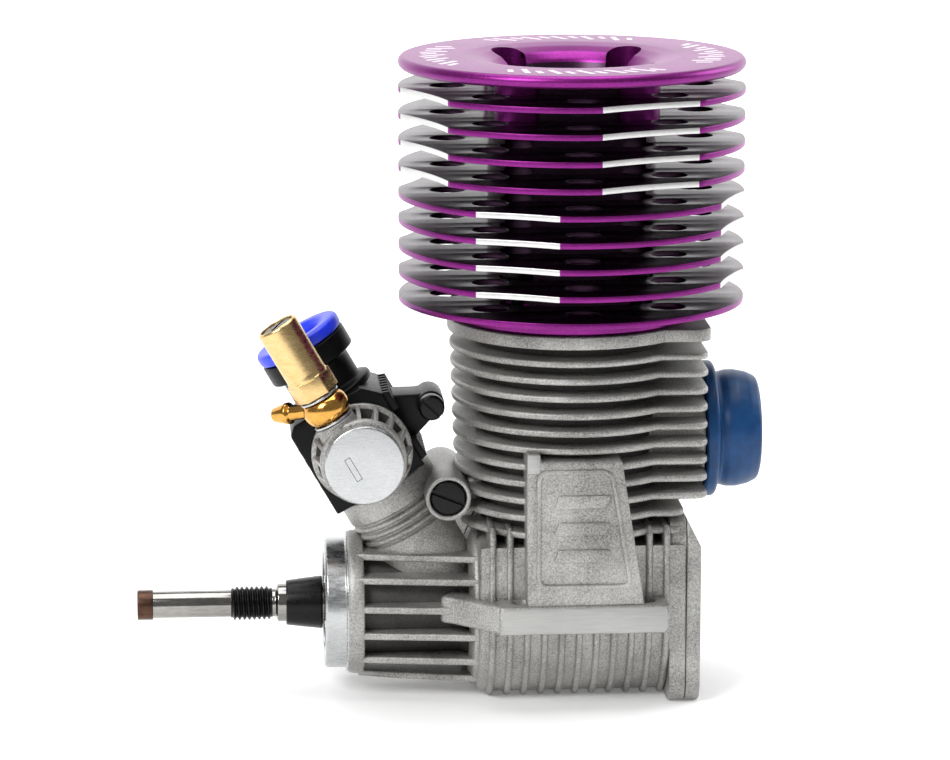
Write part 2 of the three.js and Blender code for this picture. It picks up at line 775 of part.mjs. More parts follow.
const PISTON_SKIRT = PIN_AT_TOP - 7;
const PISTON = { hollow: 7.6, crown: 2.2, chamfer: 0.4, bossRadius: 3.9, bossInner: 3.0, bossOuter: 8.0 };
const PIN = { radius: 2.5, half: 7.2, hole: 1.1, clip: 0.5, clipGap: 0.1, clipOpening: 1.1 };

function piston() {
  const { hollow, chamfer, bossRadius, bossInner, bossOuter } = PISTON;
  const blank = turned('z', [
    [0, PISTON_SKIRT],
    [PISTON_RADIUS, PISTON_SKIRT],
    [PISTON_RADIUS, CROWN_AT_TOP - chamfer],
    [PISTON_RADIUS - chamfer, CROWN_AT_TOP],
    [0, CROWN_AT_TOP],
  ], ROUND.large);
  const inside = bore('z', hollow, PISTON_SKIRT - PAST, CROWN_AT_TOP - PISTON.crown, [0, 0], ROUND.large);
  const bosses = bothSides((side) => {
    const [from, to] = side < 0 ? [-bossOuter, -bossInner] : [bossInner, bossOuter];
    return bar('x', bossRadius, from, to, [0, PIN_AT_TOP], ROUND.medium);
  });
  const limit = bar('z', PISTON_RADIUS - 0.2, PISTON_SKIRT, CROWN_AT_TOP, [0, 0], ROUND.large);
  const pinHole = bore('x', PIN.radius + FIT, -10, 10, [0, PIN_AT_TOP], ROUND.medium);
  return cut(join(cut(blank, inside), common(join(...bosses), limit)), pinHole);
}

const wristPin = () =>
  ring('x', PIN.hole, PIN.radius, -PIN.half, PIN.half, [0, PIN_AT_TOP], ROUND.medium);

/** Open spring clip that keeps the wrist pin in the piston; side is -1 or 1. */
function pinClip(side) {
  const opening = PIN.clipOpening;
  const shape = new THREE.Shape();
  shape.absarc(0, PIN_AT_TOP, PIN.radius - FIT, -opening, Math.PI + opening);
  shape.absarc(0, PIN_AT_TOP, PIN.radius - 0.6, Math.PI + opening, -opening, true);
  shape.closePath();
  const near = PIN.half + PIN.clipGap;
  const far = near + PIN.clip;
  return side < 0 ? slab('x', shape, -far, -near, 4) : slab('x', shape, near, far, 4);
}

const ROD = {
  half: 2.1,
  smallEnd: 3.9,
  bigEnd: 4.5,
  bushOuter: 3.6,
  bushInner: 3.05,
  bigHalf: 2.5,
  smallHalf: 1.9,
  pocket: { fromBig: 6.0, fromSmall: 5.0, bigHalf: 1.4, smallHalf: 1.0, depth: 1.2 },
};

function connectingRod() {
  const { half, pocket, bigHalf, smallHalf } = ROD;
  const taper = (low, lowHalf, high, highHalf) =>
    polygon([[-lowHalf, low], [lowHalf, low], [highHalf, high], [-highHalf, high]]);
  const shank = taper(CRANK_THROW, bigHalf, PIN_AT_TOP, smallHalf);
  const low = CRANK_THROW + pocket.fromBig;
  const hollow = taper(low, pocket.bigHalf, PIN_AT_TOP - pocket.fromSmall, pocket.smallHalf);
  const rod = join(
    slab('x', shank, -half, half),
    bar('x', ROD.bigEnd, -half, half, [0, CRANK_THROW], ROUND.medium),
    bar('x', ROD.smallEnd, -half, half, [0, PIN_AT_TOP], ROUND.medium),
  );
  return cut(
    rod,
    slab('x', hollow, -half - PAST, pocket.depth - half),
    slab('x', hollow, half - pocket.depth, half + PAST),
    bore('x', ROD.bushOuter + FIT, -half - PAST, half + PAST, [0, CRANK_THROW], ROUND.medium),
    bore('x', PIN.radius + SLIP, -half - PAST, half + PAST, [0, PIN_AT_TOP], ROUND.medium),
  );
}

const rodBush = () =>
  ring('x', ROD.bushInner, ROD.bushOuter, -ROD.half, ROD.half, [0, CRANK_THROW], ROUND.medium);

function liner() {
  const sleeve = turned('z', [
    [LINER.inner, LINER.bottom],
    [LINER.outer, LINER.bottom],
    [LINER.outer, LINER.top - LINER.flange],
    [LINER.flangeRadius, LINER.top - LINER.flange],
    [LINER.flangeRadius, LINER.top],
    [LINER.inner, LINER.top],
  ], ROUND.large);
  const wall = [5, 15];
  const sill = CROWN_AT_TOP - STROKE + 0.3; // just above the crown at bottom dead centre
  const { portHalf, exhaustPort, transferHalf, transferPort, notchHalf, notch, bottom } = LINER;
  const bothCut = (half, low, high) =>
    bothSides((side) => sideBlock(side, [-half, half], wall, [low, high]));
  return cut(
    sleeve,
    block(wall, [-portHalf, portHalf], [sill, sill + exhaustPort]),
    ...bothCut(transferHalf, sill, sill + transferPort),
    ...bothCut(notchHalf, bottom - PAST, bottom + notch),
  );
}

// ------------------------------------------------------------------- head and glow plug

const headShim = () => ring('z', 9.3, 12.3, LINER.top + FIT, LINER.top + 0.35, [0, 0], ROUND.large);

const BUTTON = {
  bowlTop: 51.9,
  bowlRadius: 7.0,
  squish: 49.1,
  spigot: 8.95,
  flangeBottom: 52.8,
  flangeTop: 56.6,
  flangeRadius: 12.3,
  neck: 6.0,
  top: 62.0,
  plugBore: 3.25,
};

/** Insert that forms the combustion chamber: a coned bowl inside a flat squish band. */
function combustionButton() {
  return turned('z', [
    [BUTTON.plugBore, BUTTON.bowlTop],
    [BUTTON.bowlRadius, BUTTON.squish],
    [BUTTON.spigot, BUTTON.squish],
    [BUTTON.spigot, BUTTON.flangeBottom],
    [BUTTON.flangeRadius, BUTTON.flangeBottom],
    [BUTTON.flangeRadius, BUTTON.flangeTop],
    [BUTTON.neck, BUTTON.flangeTop],
    [BUTTON.neck, BUTTON.top],
    [BUTTON.plugBore, BUTTON.top],
  ], ROUND.large);
}

/** Profile of the head: base, nine thin discs, the thick top disc and the dished bowl. */
function headOutline() {
  const half = HEAD.finThickness / 2;
  const top = HEAD.topMiddle + HEAD.topThickness / 2;
  const { radius, coreRadius, bowlRadius, boreRadius, topThickness, recess, plugHole } = HEAD;
  const chamfer = 0.7;
  const outline = [
    [recess, BARREL.deck + FIT],
    [HEAD.bossRadius, BARREL.deck + FIT],
    [HEAD.bossRadius, HEAD_BASE - half],
  ];
  for (let k = 0; k < HEAD.finCount - 1; k += 1) {
    const z = HEAD_BASE + k * HEAD.pitch;
    if (k > 0) outline.push([coreRadius, z - half]);
    outline.push([radius, z - half], [radius, z + half], [coreRadius, z + half]);
  }
  outline.push(
    [coreRadius, top - topThickness],
    [radius - chamfer, top - topThickness + 0.3],
    [radius, top - topThickness + 0.3 + chamfer],
    [radius, top - chamfer],
    [radius - chamfer, top],
    [HEAD.dishRadius, top],
    [bowlRadius + 1.8, top - 0.8],
    [bowlRadius, top - 1.9],
    [bowlRadius - 1.0, top - 5.0],
    [boreRadius, top - 11.5],
    [boreRadius, HEAD.seat],
    [plugHole, HEAD.seat],
    [plugHole, BUTTON.flangeTop + SLIP],
    [recess, BUTTON.flangeTop + SLIP],
  );
  return outline;
}

/** Finned cooling head: a turned blank, then milled flats, drilled air holes and screw wells. */
function coolingHead() {
  const top = HEAD.topMiddle + HEAD.topThickness / 2;
  const level = (k) => HEAD.topMiddle - k * HEAD.pitch;
  const margin = 1.5;
  const reach = 5;
  const flats = [
    { ...HEAD.flatUpper, low: level(4) - margin, high: level(1) + margin },
    { ...HEAD.flatLower, low: level(8) - margin, high: level(5) + margin },
  ].flatMap(({ phase, distance, low, high }) =>
    [0, 90, 180, 270].map((quarter) =>
      block([distance, distance + reach], [-15, 15], [low, high]).rotateZ(radians(phase + quarter)),
    ),
  );
  const airHoles = Array.from({ length: HEAD.holeCount }, (_, i) => {
    const angle = (2 * Math.PI * i) / HEAD.holeCount;
    const at = [HEAD.holeCircle * Math.cos(angle), HEAD.holeCircle * Math.sin(angle)];
    return bore('z', HEAD.holeRadius, HEAD_BASE - 0.3, level(1) + margin, at, ROUND.tiny);
  });
  const wells = cornerPlaces(HEAD.screwOffset).flatMap((at) => [
    bore('z', HEAD.accessRadius, HEAD.seat, top + PAST, at),
    bore('z', HEAD_SCREW.clear, BARREL.deck - PAST, HEAD.seat + PAST, at, ROUND.tiny),
  ]);
  return cut(turned('z', headOutline(), ROUND.head), ...flats, ...airHoles, ...wells);
}

function headScrew(at) {
  const { shank, head, height, socket, end } = HEAD_SCREW;
  const seat = HEAD.seat + FIT;
  const top = HEAD.seat + height;
  return cut(
    join(bar('z', head, seat, top, at), bar('z', shank, end, seat + 0.5, at, ROUND.tiny)),
    hexagon('z', socket, HEAD.seat + 1.6, top + PAST, at),
  );
}

const PLUG_SEAT = BUTTON.top + 0.55;

const PLUG = {
  end: 52.4,
  thread: 3.15,
  collar: 4.3,
  body: 2.9,
  height: 6.8,
  flats: 7.9,
  hexHeight: 4.4,
  cavity: 1.7,
  cavityTop: 58.0,
  terminal: 1.3,
  terminalEnd: 59.0,
  tip: 74.4,
};

const plugWasher = () => ring('z', 3.3, 4.6, BUTTON.top + FIT, BUTTON.top + 0.5);

function glowPlug() {
  const { end, thread, collar, body, height, cavity, cavityTop, terminal } = PLUG;
  const blank = turned('z', [
    [0, end],
    [thread, end],
    [thread, PLUG_SEAT],
    [collar, PLUG_SEAT],
    [collar, PLUG_SEAT + 0.6],
    [body, PLUG_SEAT + 0.6],
    [body, PLUG_SEAT + height - 0.4],
    [body - 0.3, PLUG_SEAT + height],
    [0, PLUG_SEAT + height],
  ]);
  return cut(
    join(blank, hexagon('z', PLUG.flats, PLUG_SEAT + 0.5, PLUG_SEAT + PLUG.hexHeight)),
    bore('z', cavity, end - PAST, cavityTop, [0, 0], ROUND.tiny),
    bore('z', terminal + SLIP, cavityTop - PAST, PLUG_SEAT + height + PAST),
  );
}

const plugTerminal = () =>
  turned('z', [
    [0, PLUG.terminalEnd],
    [PLUG.terminal, PLUG.terminalEnd],
    [PLUG.terminal, PLUG.tip - 2.2],
    [PLUG.terminal - 0.3, PLUG.tip - 1.9],
    [PLUG.terminal + 0.15, PLUG.tip - 1.0],
    [PLUG.terminal - 0.2, PLUG.tip - 0.2],
    [0, PLUG.tip],
  ], ROUND.small);

// ------------------------------------------------------------------- carburettor parts

const SLIDE_AT = [0, CARB.slideHeight];
const MOUTH = {
  lipBottom: 62.6,
  top: 66.4,
  lipRadius: 8.25,
  neckRadius: 6.5,
  collarRadius: 8.2,
  bore: 5.6,
  floor: 60.2,
};
const SPIGOT = { end: 24.0, radius: 6.9, groove: 5.7, grooveFrom: 33.6, grooveTo: 35.2 };
const ARM = { front: -5.3, back: 3.5, hole: 1.2 };

/** Moulded body: spigot, box round the slide, intake neck and the idle screw's arm. */
function carburettorBody() {
  const { bodyLeft, bodyRight, bodyBottom, bodyTop, bodyHalf } = CARB;
  const front = polygon([
    [bodyLeft, bodyBottom],
    [bodyRight, bodyBottom],
    [bodyRight, bodyTop - 3],
    [bodyRight - 3, bodyTop],
    [bodyLeft + 1.5, bodyTop],
    [bodyLeft, bodyTop - 1.5],
  ]);
  const tower = turned('z', [
    [0, SPIGOT.end],
    [SPIGOT.radius, SPIGOT.end],
    [SPIGOT.radius, SPIGOT.grooveFrom],
    [SPIGOT.groove, SPIGOT.grooveFrom],
    [SPIGOT.groove, SPIGOT.grooveTo],
    [SPIGOT.radius, SPIGOT.grooveTo],
    [SPIGOT.radius, bodyTop - 1],
    [MOUTH.collarRadius, bodyTop - 0.5],
    [MOUTH.collarRadius, bodyTop + 0.6],
    [MOUTH.neckRadius, bodyTop + 1.2],
    [MOUTH.neckRadius, MOUTH.lipBottom - 0.6],
    [MOUTH.lipRadius, MOUTH.lipBottom],
    [MOUTH.lipRadius, MOUTH.top],
    [0, MOUTH.top],
  ], ROUND.large);
  const [idleX, idleZ] = CARB.idle;
  const arm = polygon([
    [bodyRight - 1, idleZ + 6],
    [idleX - 1.2, idleZ + 2.6],
    [idleX + 1.5, idleZ + 2.0],
    [idleX + 2.5, idleZ],
    [idleX + 1.5, idleZ - 2.0],
    [idleX - 1.2, idleZ - 2.6],
    [bodyRight - 1, idleZ - 4.5],
  ]);
  const body = join(
    slab('y', front, -bodyHalf, bodyHalf),
    slab('y', arm, ARM.front, ARM.back),
    tower,
  );
  const sideGrooves = [41, 43.6, 46.2, 48.8].map((z) =>
    block([bodyLeft - PAST, bodyLeft + 0.7], [-6, 6], [z, z + 1.2]),
  );
  const slideBore = CARB.slideRadius + CARB.slideSlip;
  return cut(
    body,
    bore('z', CARB.throat, SPIGOT.end - PAST, MOUTH.top + PAST, [0, 0], ROUND.medium),
    bore('z', MOUTH.bore, MOUTH.floor, MOUTH.top + PAST, [0, 0], ROUND.large),
    bore('y', slideBore, -bodyHalf - PAST, bodyHalf + PAST, SLIDE_AT, ROUND.large),
    bore('y', ARM.hole + SLIP, ARM.front - PAST, ARM.back + PAST, CARB.idle, ROUND.tiny),
    ...sideGrooves,
  );
}

const carbSeal = () => {
  const from = SPIGOT.grooveFrom + 0.15;
  const to = SPIGOT.grooveTo - 0.15;
  return ring('z', SPIGOT.groove + SLIP, SPIGOT.radius + 0.2, from, to, [0, 0], ROUND.large);
};

const STOPPER = { end: 61.4, stem: 5.3, rim: 8.3, thickness: 2.6, hollow: 4.2, floor: 62.8 };

/** Soft plug for the intake: a hollow stem under a rounded rim. */
function intakePlug() {
  const { end, stem, rim, thickness, hollow, floor } = STOPPER;
  const seat = MOUTH.top + 0.15;
  const top = MOUTH.top + thickness;
  return turned('z', [
    [0, end],
    [stem - 0.2, end],
    [stem, end + 0.6],
    [stem, seat],
    [rim - 0.3, seat],
    [rim, seat + 0.45],
    [rim, top - 0.5],
    [rim - 0.5, top],
    [hollow + 1.4, top],
    [hollow, top - 1.0],
    [hollow - 0.2, floor],
    [0, floor],
  ], ROUND.large);
}

const WINDOW = { columns: [-7.6, -5.0, 3.2, 5.8, 8.2], half: 0.75, reach: 12.0 };

/** Windows between the ribs of a cast collar, all parallel to the intake. */
function collarWindows(from, to, innerRadius) {
  const { half, reach } = WINDOW;
  const height = [CARB.slideHeight - reach, CARB.slideHeight + reach];
  const slots = WINDOW.columns.map((x) => block([x - half, x + half], [from, to], height));
  const inner = bar('y', innerRadius, from - PAST, to + PAST, SLIDE_AT, ROUND.medium);
  return cut(join(...slots), inner);
}

const HOUSING = {
  back: -9.3,
  front: -17.9,
  rim: 1.1,
  backRadius: 9.2,
  frontRadius: 7.9,
  capRadius: 7.05,
  capThickness: 2.35,
  drum: 7.0,
  cavity: 5.8,
};
const STAND = {
  from: 47.0,
  to: 54.2,
  radius: 3.75,
  hole: 2.4,
  holeFrom: 51.8,
  faceRadius: 3.8,
  faceTo: 60.0,
};
const SPRAY = { radius: 1.4, hole: 0.6, from: -17.8, to: -2.0 };

/** Cast inlet: a ribbed drum over the end of the slide, with a stand for the needle. */
function fuelInletHousing() {
  const { back, front, rim, backRadius, frontRadius, capRadius, drum, cavity } = HOUSING;
  const shell = turned('y', [
    [0, back],
    [backRadius, back],
    [backRadius, back - rim],
    [frontRadius, front + 1.0],
    [capRadius, front],
    [0, front],
  ], ROUND.large, SLIDE_AT);
  const at = CARB.needle;
  const stand = bar('z', STAND.radius, STAND.from, STAND.to, at);
  const windows = collarWindows(front + 1.6, back - rim - 0.1, drum);
  return cut(
    join(cut(shell, windows), stand),
    bore('y', cavity, front + 0.9, back + PAST, SLIDE_AT, ROUND.medium),
    bore('y', SPRAY.radius + SLIP, front - PAST, front + 2 * PAST, SLIDE_AT, ROUND.tiny),
    bore('z', STAND.hole, STAND.holeFrom, STAND.to + PAST, at),
    bore('z', STAND.faceRadius, STAND.to, STAND.faceTo, at, ROUND.medium),
  );
}

function fuelInletCap() {
  const near = HOUSING.front - SLIP;
  const far = near - HOUSING.capThickness;
  const radius = HOUSING.capRadius;
  const disc = turned('y', [
    [0, near],
    [radius, near],
    [radius, far + 0.25],
    [radius - 0.25, far],
    [0, far],
  ], ROUND.large, SLIDE_AT);
  return cut(disc, block([-0.2, 0.6], [far - PAST, far + 0.15], [42.2, 46.6]));
}

const sprayBar = () => ring('y', SPRAY.hole, SPRAY.radius, SPRAY.from, SPRAY.to, SLIDE_AT, ROUND.tiny);

/** Barbed fuel nipple on the banjo: swung back from the nose and tipped up a little. */
const NIPPLE = { rise: 12, swing: 35, height: 56.9, radius: 1.35, barb: 2.0, length: 11.6 };

function banjo() {
  const [x, y] = CARB.needle;
  const ball = turned('z', [
    [0, 54.9],
    [3.4, 54.9],
    [4.1, 55.9],
    [4.35, 57.1],
    [4.1, 58.2],
    [3.5, 59.1],
    [0, 59.1],
  ], ROUND.medium, [x, y]);
  const swing = (geometry) =>
    geometry
      .rotateY(radians(NIPPLE.rise - 90))
      .rotateZ(radians(-NIPPLE.swing))
      .translate(x, y, NIPPLE.height);
  const nipple = turned('z', [
    [0, 2],
    [NIPPLE.radius, 2],
    [NIPPLE.radius, 8.0],
    [NIPPLE.barb, 8.4],
    [NIPPLE.radius, NIPPLE.length],
    [0, NIPPLE.length],
  ], ROUND.small);
  const passage = bar('z', 0.8, 0, NIPPLE.length + 2, [0, 0], ROUND.tiny);
  return cut(join(ball, swing(nipple)), bore('z', 2.4, 50, 62, [x, y]), swing(passage));
}

const banjoWasher = (from) =>
  ring('z', STAND.hole, STAND.radius - 0.2, from, from + 0.4, CARB.needle, ROUND.medium);

const HOLDER = {
  stem: 2.2,
  from: 52.4,
  flats: 7.3,
  hexFrom: 59.9,
  hexTo: 63.8,
  tube: 3.8,
  top: 74.6,
  well: 3.2,
  hole: 1.4,
};

/** Brass seat of the high-speed needle: threaded stem, hexagon and tube. */
function needleHolder() {
  const at = CARB.needle;
  const { stem, from, flats, hexFrom, hexTo, tube, top, well, hole } = HOLDER;
  const sleeve = [[0, hexTo - 0.3], [tube, hexTo - 0.1], [tube, top - 0.4], [tube - 0.3, top], [0, top]];
  return cut(
    join(
      bar('z', stem, from, hexFrom + 0.1, at),
      hexagon('z', flats, hexFrom, hexTo, at),
      turned('z', sleeve, ROUND.medium, at),
    ),
    bore('z', well, 66, top + PAST, at, ROUND.medium),
    bore('z', hole, from - PAST, 70, at),
  );
}

function highSpeedNeedle() {
  const [x, y] = CARB.needle;
  const head = { radius: 3.0, from: 71.0, to: 74.3, slot: 0.9, slotFloor: 73.2 };
  const needle = turned('z', [
    [0, 52.5],
    [0.35, 52.5],
    [1.15, 56.5],
    [1.15, head.from],
    [head.radius, head.from],
    [head.radius, head.to - 0.3],
    [head.radius - 0.3, head.to],
    [0, head.to],
  ], ROUND.medium, CARB.needle);
  const across = [x - head.radius - PAST, x + head.radius + PAST];
  const width = [y - head.slot / 2, y + head.slot / 2];
  return cut(needle, block(across, width, [head.slotFloor, head.to + PAST]));
}

const SLIDE = {
  from: -8.6,
  to: 13.0,
  chamfer: 0.4,
  stem: 2.5,
  stemEnd: 25.4,
  sprayHole: 1.8,
  needleHole: 1.25,
};

/** Sliding throttle: a barrel with a cross hole, drilled through for fuel and low needle. */
function throttleSlide() {
  const { from, to, chamfer, stem, stemEnd, sprayHole, needleHole } = SLIDE;
  const radius = CARB.slideRadius;
  const blank = turned('y', [
    [0, from],
    [radius - chamfer, from],
    [radius, from + chamfer],
    [radius, to - chamfer],
    [radius - chamfer, to],
    [stem, to],
    [stem, stemEnd],
    [0, stemEnd],
  ], ROUND.large, SLIDE_AT);
  return cut(
    blank,
    bore('z', CARB.throat, CARB.slideHeight - 10, CARB.slideHeight + 10, [0, 0], ROUND.medium),
    bore('y', sprayHole, from - PAST, 6.5, SLIDE_AT),
    bore('y', needleHole, 6, stemEnd + PAST, SLIDE_AT),
  );
}

function lowSpeedNeedle() {
  const end = SLIDE.stemEnd - 0.4;
  const outline = [[0, 4.6], [0.3, 4.6], [1.05, 8], [1.05, end], [0, end]];
  const needle = turned('y', outline, ROUND.tiny, SLIDE_AT);
  const slot = [CARB.slideHeight - 0.2, CARB.slideHeight + 0.2];
  return cut(needle, block([-2, 2], [end - 0.6, end + PAST], slot));
}

const BALL = { radius: 2.4, y: 28.3, collar: 4.0, neck: 1.9, from: 25.5, hole: 1.2 };

/** Ball that the throttle linkage snaps on to, with its collar. */
function throttleBall() {
  const { radius, y, collar, neck, from, hole } = BALL;
  const ball = new THREE.SphereGeometry(radius, 12, 8).translate(0, y, CARB.slideHeight);
  return cut(
    join(
      ball,
      bar('y', collar, from, from + 0.8, SLIDE_AT, ROUND.medium),
      bar('y', neck, from + 0.5, y, SLIDE_AT),
    ),
    bore('y', hole, from - PAST, y + radius + PAST, SLIDE_AT, ROUND.tiny),
  );
}

const COLLAR = { from: 9.3, to: 15.0, rim: 1.1, radius: 9.2, taper: 8.2, end: 7.0, drum: 7.1 };

function throttleCollar() {
  const inner = CARB.slideRadius + CARB.slideSlip;
  const { from, to, rim, radius, taper, end, drum } = COLLAR;
  const shell = turned('y', [
    [inner, from],
    [radius, from],
    [radius, from + rim],
    [taper, to - 0.6],
    [end, to],
    [inner, to],
  ], ROUND.large, SLIDE_AT);
  return cut(shell, collarWindows(from + rim + 0.2, to - 1.4, drum));
}

const BOOT = { start: 15.15, end: 25.3, folds: 4, wall: 0.7, wide: 6.6, narrow: 4.9, endRadius: 4.1 };

/** Rubber bellows between the collar and the outer end of the slide. */
function throttleBoot() {
  const steps = BOOT.folds * 2;
  const outer = Array.from({ length: steps + 1 }, (_, i) => {
    const t = i / steps;
    const radius = i % 2 ? BOOT.narrow : BOOT.wide;
    return [radius + (BOOT.endRadius - BOOT.narrow) * t, THREE.MathUtils.lerp(BOOT.start, BOOT.end, t)];
  });
  const inner = outer.map(([r, y]) => [r - BOOT.wall * 1.4, y]).reverse();
  return turned('y', [...outer, ...inner], ROUND.medium, SLIDE_AT);
}

/** Cheese-headed slotted screw along Y, with its head at the -Y end. */
function slottedScrew({ from, to, head, height, shank, slot, slotDepth, chamfer }, at) {
  const [x, z] = at;
  const screw = turned('y', [
    [0, from],
    [head - chamfer, from],
    [head, from + chamfer],
    [head, from + height],
    [shank, from + height],
    [shank, to],
    [0, to],
  ], ROUND.small, at);
  const half = slot / 2;
  const across = [x - head - PAST, x + head + PAST];
  return cut(screw, block(across, [from - PAST, from + slotDepth], [z - half, z + half]));
}

const IDLE = {
  from: -8.3,
  to: 7.7,
  head: 2.05,
  height: 2.7,
  shank: 1.2,
  slot: 0.7,
  slotDepth: 0.8,
  chamfer: 0.3,
};

const idleStopScrew = () => slottedScrew(IDLE, CARB.idle);

function clampBolt() {
  const end = CARB.clampHalfLength;
  const { head, shank } = CARB.clampBolt;
  const length = { from: 0.25 - end, to: end - 0.3, height: 2.2 };
  const driver = { slot: 0.8, slotDepth: 0.95, chamfer: 0.3 };
  return slottedScrew({ head, shank, ...length, ...driver }, CARB.clamp);
}

function clampNut() {
  const end = CARB.clampHalfLength;
  const { nut, shank } = CARB.clampBolt;
  const blank = hexagon('y', nut, end - 2.2, end - 0.1, CARB.clamp);
  return cut(blank, bore('y', shank + SLIP, end - 3, end + PAST, CARB.clamp, ROUND.tiny));
}

const CAP = {
  hollow: 6.6,
  stem: 7.9,
  stemFrom: 18.0,
  flange: 12.5,
  neck: 10.35,
  bulge: 10.8,
  floor: 31.8,
};

/** Soft cap pushed into the exhaust while the engine is in store. */
function exhaustCap() {
  const { face, height, capEnd } = EXHAUST;
  const { hollow, stem, stemFrom, flange, neck, bulge, floor } = CAP;
  return turned('x', [
    [0, floor],
    [hollow - 0.2, floor],
    [hollow, floor - 0.6],
    [hollow, stemFrom],
    [stem, stemFrom],
    [stem, face + 0.15],
    [flange - 0.3, face + 0.15],
    [flange, face + 0.5],
    [flange, face + 2.0],
    [flange - 0.4, face + 2.5],
    [neck + 0.15, face + 2.9],
    [neck, face + 3.4],
    [bulge, face + 4.6],
    [bulge, face + 6.4],
    [bulge - 0.45, face + 8.6],
    [bulge - 1.2, capEnd - 0.4],
    [bulge - 1.8, capEnd],
    [0, capEnd],
  ], ROUND.large, [0, height]);
}

// -------------------------------------------------------------------------- assembly

const engine = new THREE.Group();
engine.position.set(-(SHAFT.tip + EXHAUST.capEnd) / 2, 0, -CASE.ribFloor);

const carburettor = new THREE.Group();
carburettor.rotation.y = radians(CARB.tilt);
carburettor.position.set(CARB.offset, 0, 0).applyEuler(carburettor.rotation);
engine.add(carburettor);

function add(name, item, material, parent = engine) {
  const mesh = new THREE.Mesh(surface(item), material);
  mesh.name = name;
  parent.add(mesh);
}

add('crankcase', crankcase(), FINISH.cast);
add('backplate', backplate(), FINISH.cast);
add('backplate_o_ring', backplateSeal(), FINISH.rubber);
plateScrewPlaces().forEach((at, i) =>
  add(`backplate_screw_${i + 1}`, plateScrew(at), FINISH.darkSteel),
);

for (const spec of [REAR_BEARING, FRONT_BEARING]) {
  const { innerRace, outerRace, ballCage } = bearing(spec);
  add(`${spec.name}_inner_race`, innerRace, FINISH.steel);
  add(`${spec.name}_outer_race`, outerRace, FINISH.steel);
  add(`${spec.name}_ball_cage`, ballCage, FINISH.steel);
}
add('crankshaft', crankshaft(), FINISH.steel);
add('flywheel_collet', collet(), FINISH.darkSteel);

add('piston', piston(), FINISH.machined);
add('wrist_pin', wristPin(), FINISH.steel);
add('wrist_pin_clip_front', pinClip(-1), FINISH.darkSteel);
add('wrist_pin_clip_rear', pinClip(1), FINISH.darkSteel);
add('connecting_rod', connectingRod(), FINISH.machined);
add('rod_big_end_bush', rodBush(), FINISH.bronze);
add('cylinder_liner', liner(), FINISH.brass);

add('head_shim', headShim(), FINISH.copper);
add('combustion_button', combustionButton(), FINISH.machined);
add('cooling_head', coolingHead(), FINISH.purple);
cornerPlaces(HEAD.screwOffset).forEach((at, i) =>
  add(`head_screw_${i + 1}`, headScrew(at), FINISH.darkSteel),
);
add('glow_plug_washer', plugWasher(), FINISH.copper);
add('glow_plug_body', glowPlug(), FINISH.steel);
add('glow_plug_terminal', plugTerminal(), FINISH.steel);

add('carburettor_body', carburettorBody(), FINISH.blackPlastic, carburettor);
add('carburettor_o_ring', carbSeal(), FINISH.rubber, carburettor);
add('carburettor_clamp_bolt', clampBolt(), FINISH.darkSteel, carburettor);
add('carburettor_clamp_nut', clampNut(), FINISH.darkSteel, carburettor);
add('intake_dust_plug', intakePlug(), FINISH.royalBlue, carburettor);
add('fuel_inlet_housing', fuelInletHousing(), FINISH.cast, carburettor);
add('fuel_inlet_cap', fuelInletCap(), FINISH.machined, carburettor);
add('spray_bar', sprayBar(), FINISH.brass, carburettor);
add('fuel_banjo', banjo(), FINISH.gold, carburettor);
add('banjo_washer_lower', banjoWasher(54.35), FINISH.machined, carburettor);
add('banjo_washer_upper', banjoWasher(59.3), FINISH.machined, carburettor);
add('needle_valve_holder', needleHolder(), FINISH.brass, carburettor);
add('high_speed_needle', highSpeedNeedle(), FINISH.darkSteel, carburettor);
add('throttle_slide', throttleSlide(), FINISH.steel, carburettor);
add('low_speed_needle', lowSpeedNeedle(), FINISH.brass, carburettor);
add('throttle_ball', throttleBall(), FINISH.darkSteel, carburettor);
add('throttle_collar', throttleCollar(), FINISH.cast, carburettor);
add('throttle_boot', throttleBoot(), FINISH.rubber, carburettor);
add('idle_stop_screw', idleStopScrew(), FINISH.darkSteel, carburettor);
add('exhaust_dust_cap', exhaustCap(), FINISH.steelBlue);

export default engine;
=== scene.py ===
"""The looks of a model glow engine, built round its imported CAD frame.

Sizes inside the classes are millimetres in the engine's own frame, whose origin is where the
crankshaft axis meets the cylinder axis: -X is the shaft nose, +Z the head, -Y the needle side.
A ``Place`` turns them into the frame's metres.
"""

import logging
import math
from dataclasses import dataclass, field
from enum import Enum

import bmesh
import bpy
import numpy as np
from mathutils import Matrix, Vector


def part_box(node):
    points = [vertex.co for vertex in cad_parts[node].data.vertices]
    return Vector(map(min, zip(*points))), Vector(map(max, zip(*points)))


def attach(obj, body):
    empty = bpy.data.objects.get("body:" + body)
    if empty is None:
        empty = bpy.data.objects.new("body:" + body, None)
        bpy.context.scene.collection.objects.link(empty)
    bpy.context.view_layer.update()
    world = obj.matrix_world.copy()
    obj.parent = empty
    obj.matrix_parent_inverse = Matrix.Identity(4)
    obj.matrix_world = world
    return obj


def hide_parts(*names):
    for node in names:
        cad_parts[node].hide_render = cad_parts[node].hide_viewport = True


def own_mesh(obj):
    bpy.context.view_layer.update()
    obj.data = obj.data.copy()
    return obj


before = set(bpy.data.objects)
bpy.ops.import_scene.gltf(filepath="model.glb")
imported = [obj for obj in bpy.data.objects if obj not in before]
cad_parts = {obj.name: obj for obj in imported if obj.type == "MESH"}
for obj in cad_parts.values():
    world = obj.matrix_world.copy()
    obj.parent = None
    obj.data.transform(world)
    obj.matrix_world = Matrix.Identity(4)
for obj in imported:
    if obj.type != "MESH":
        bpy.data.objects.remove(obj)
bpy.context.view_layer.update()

log = logging.getLogger("engine")
MM = 0.001
TAU = 2.0 * math.pi
CREASE = math.radians(38.0)  # faces that meet more sharply than this show an edge


# ------------------------------------------------------------------------- places


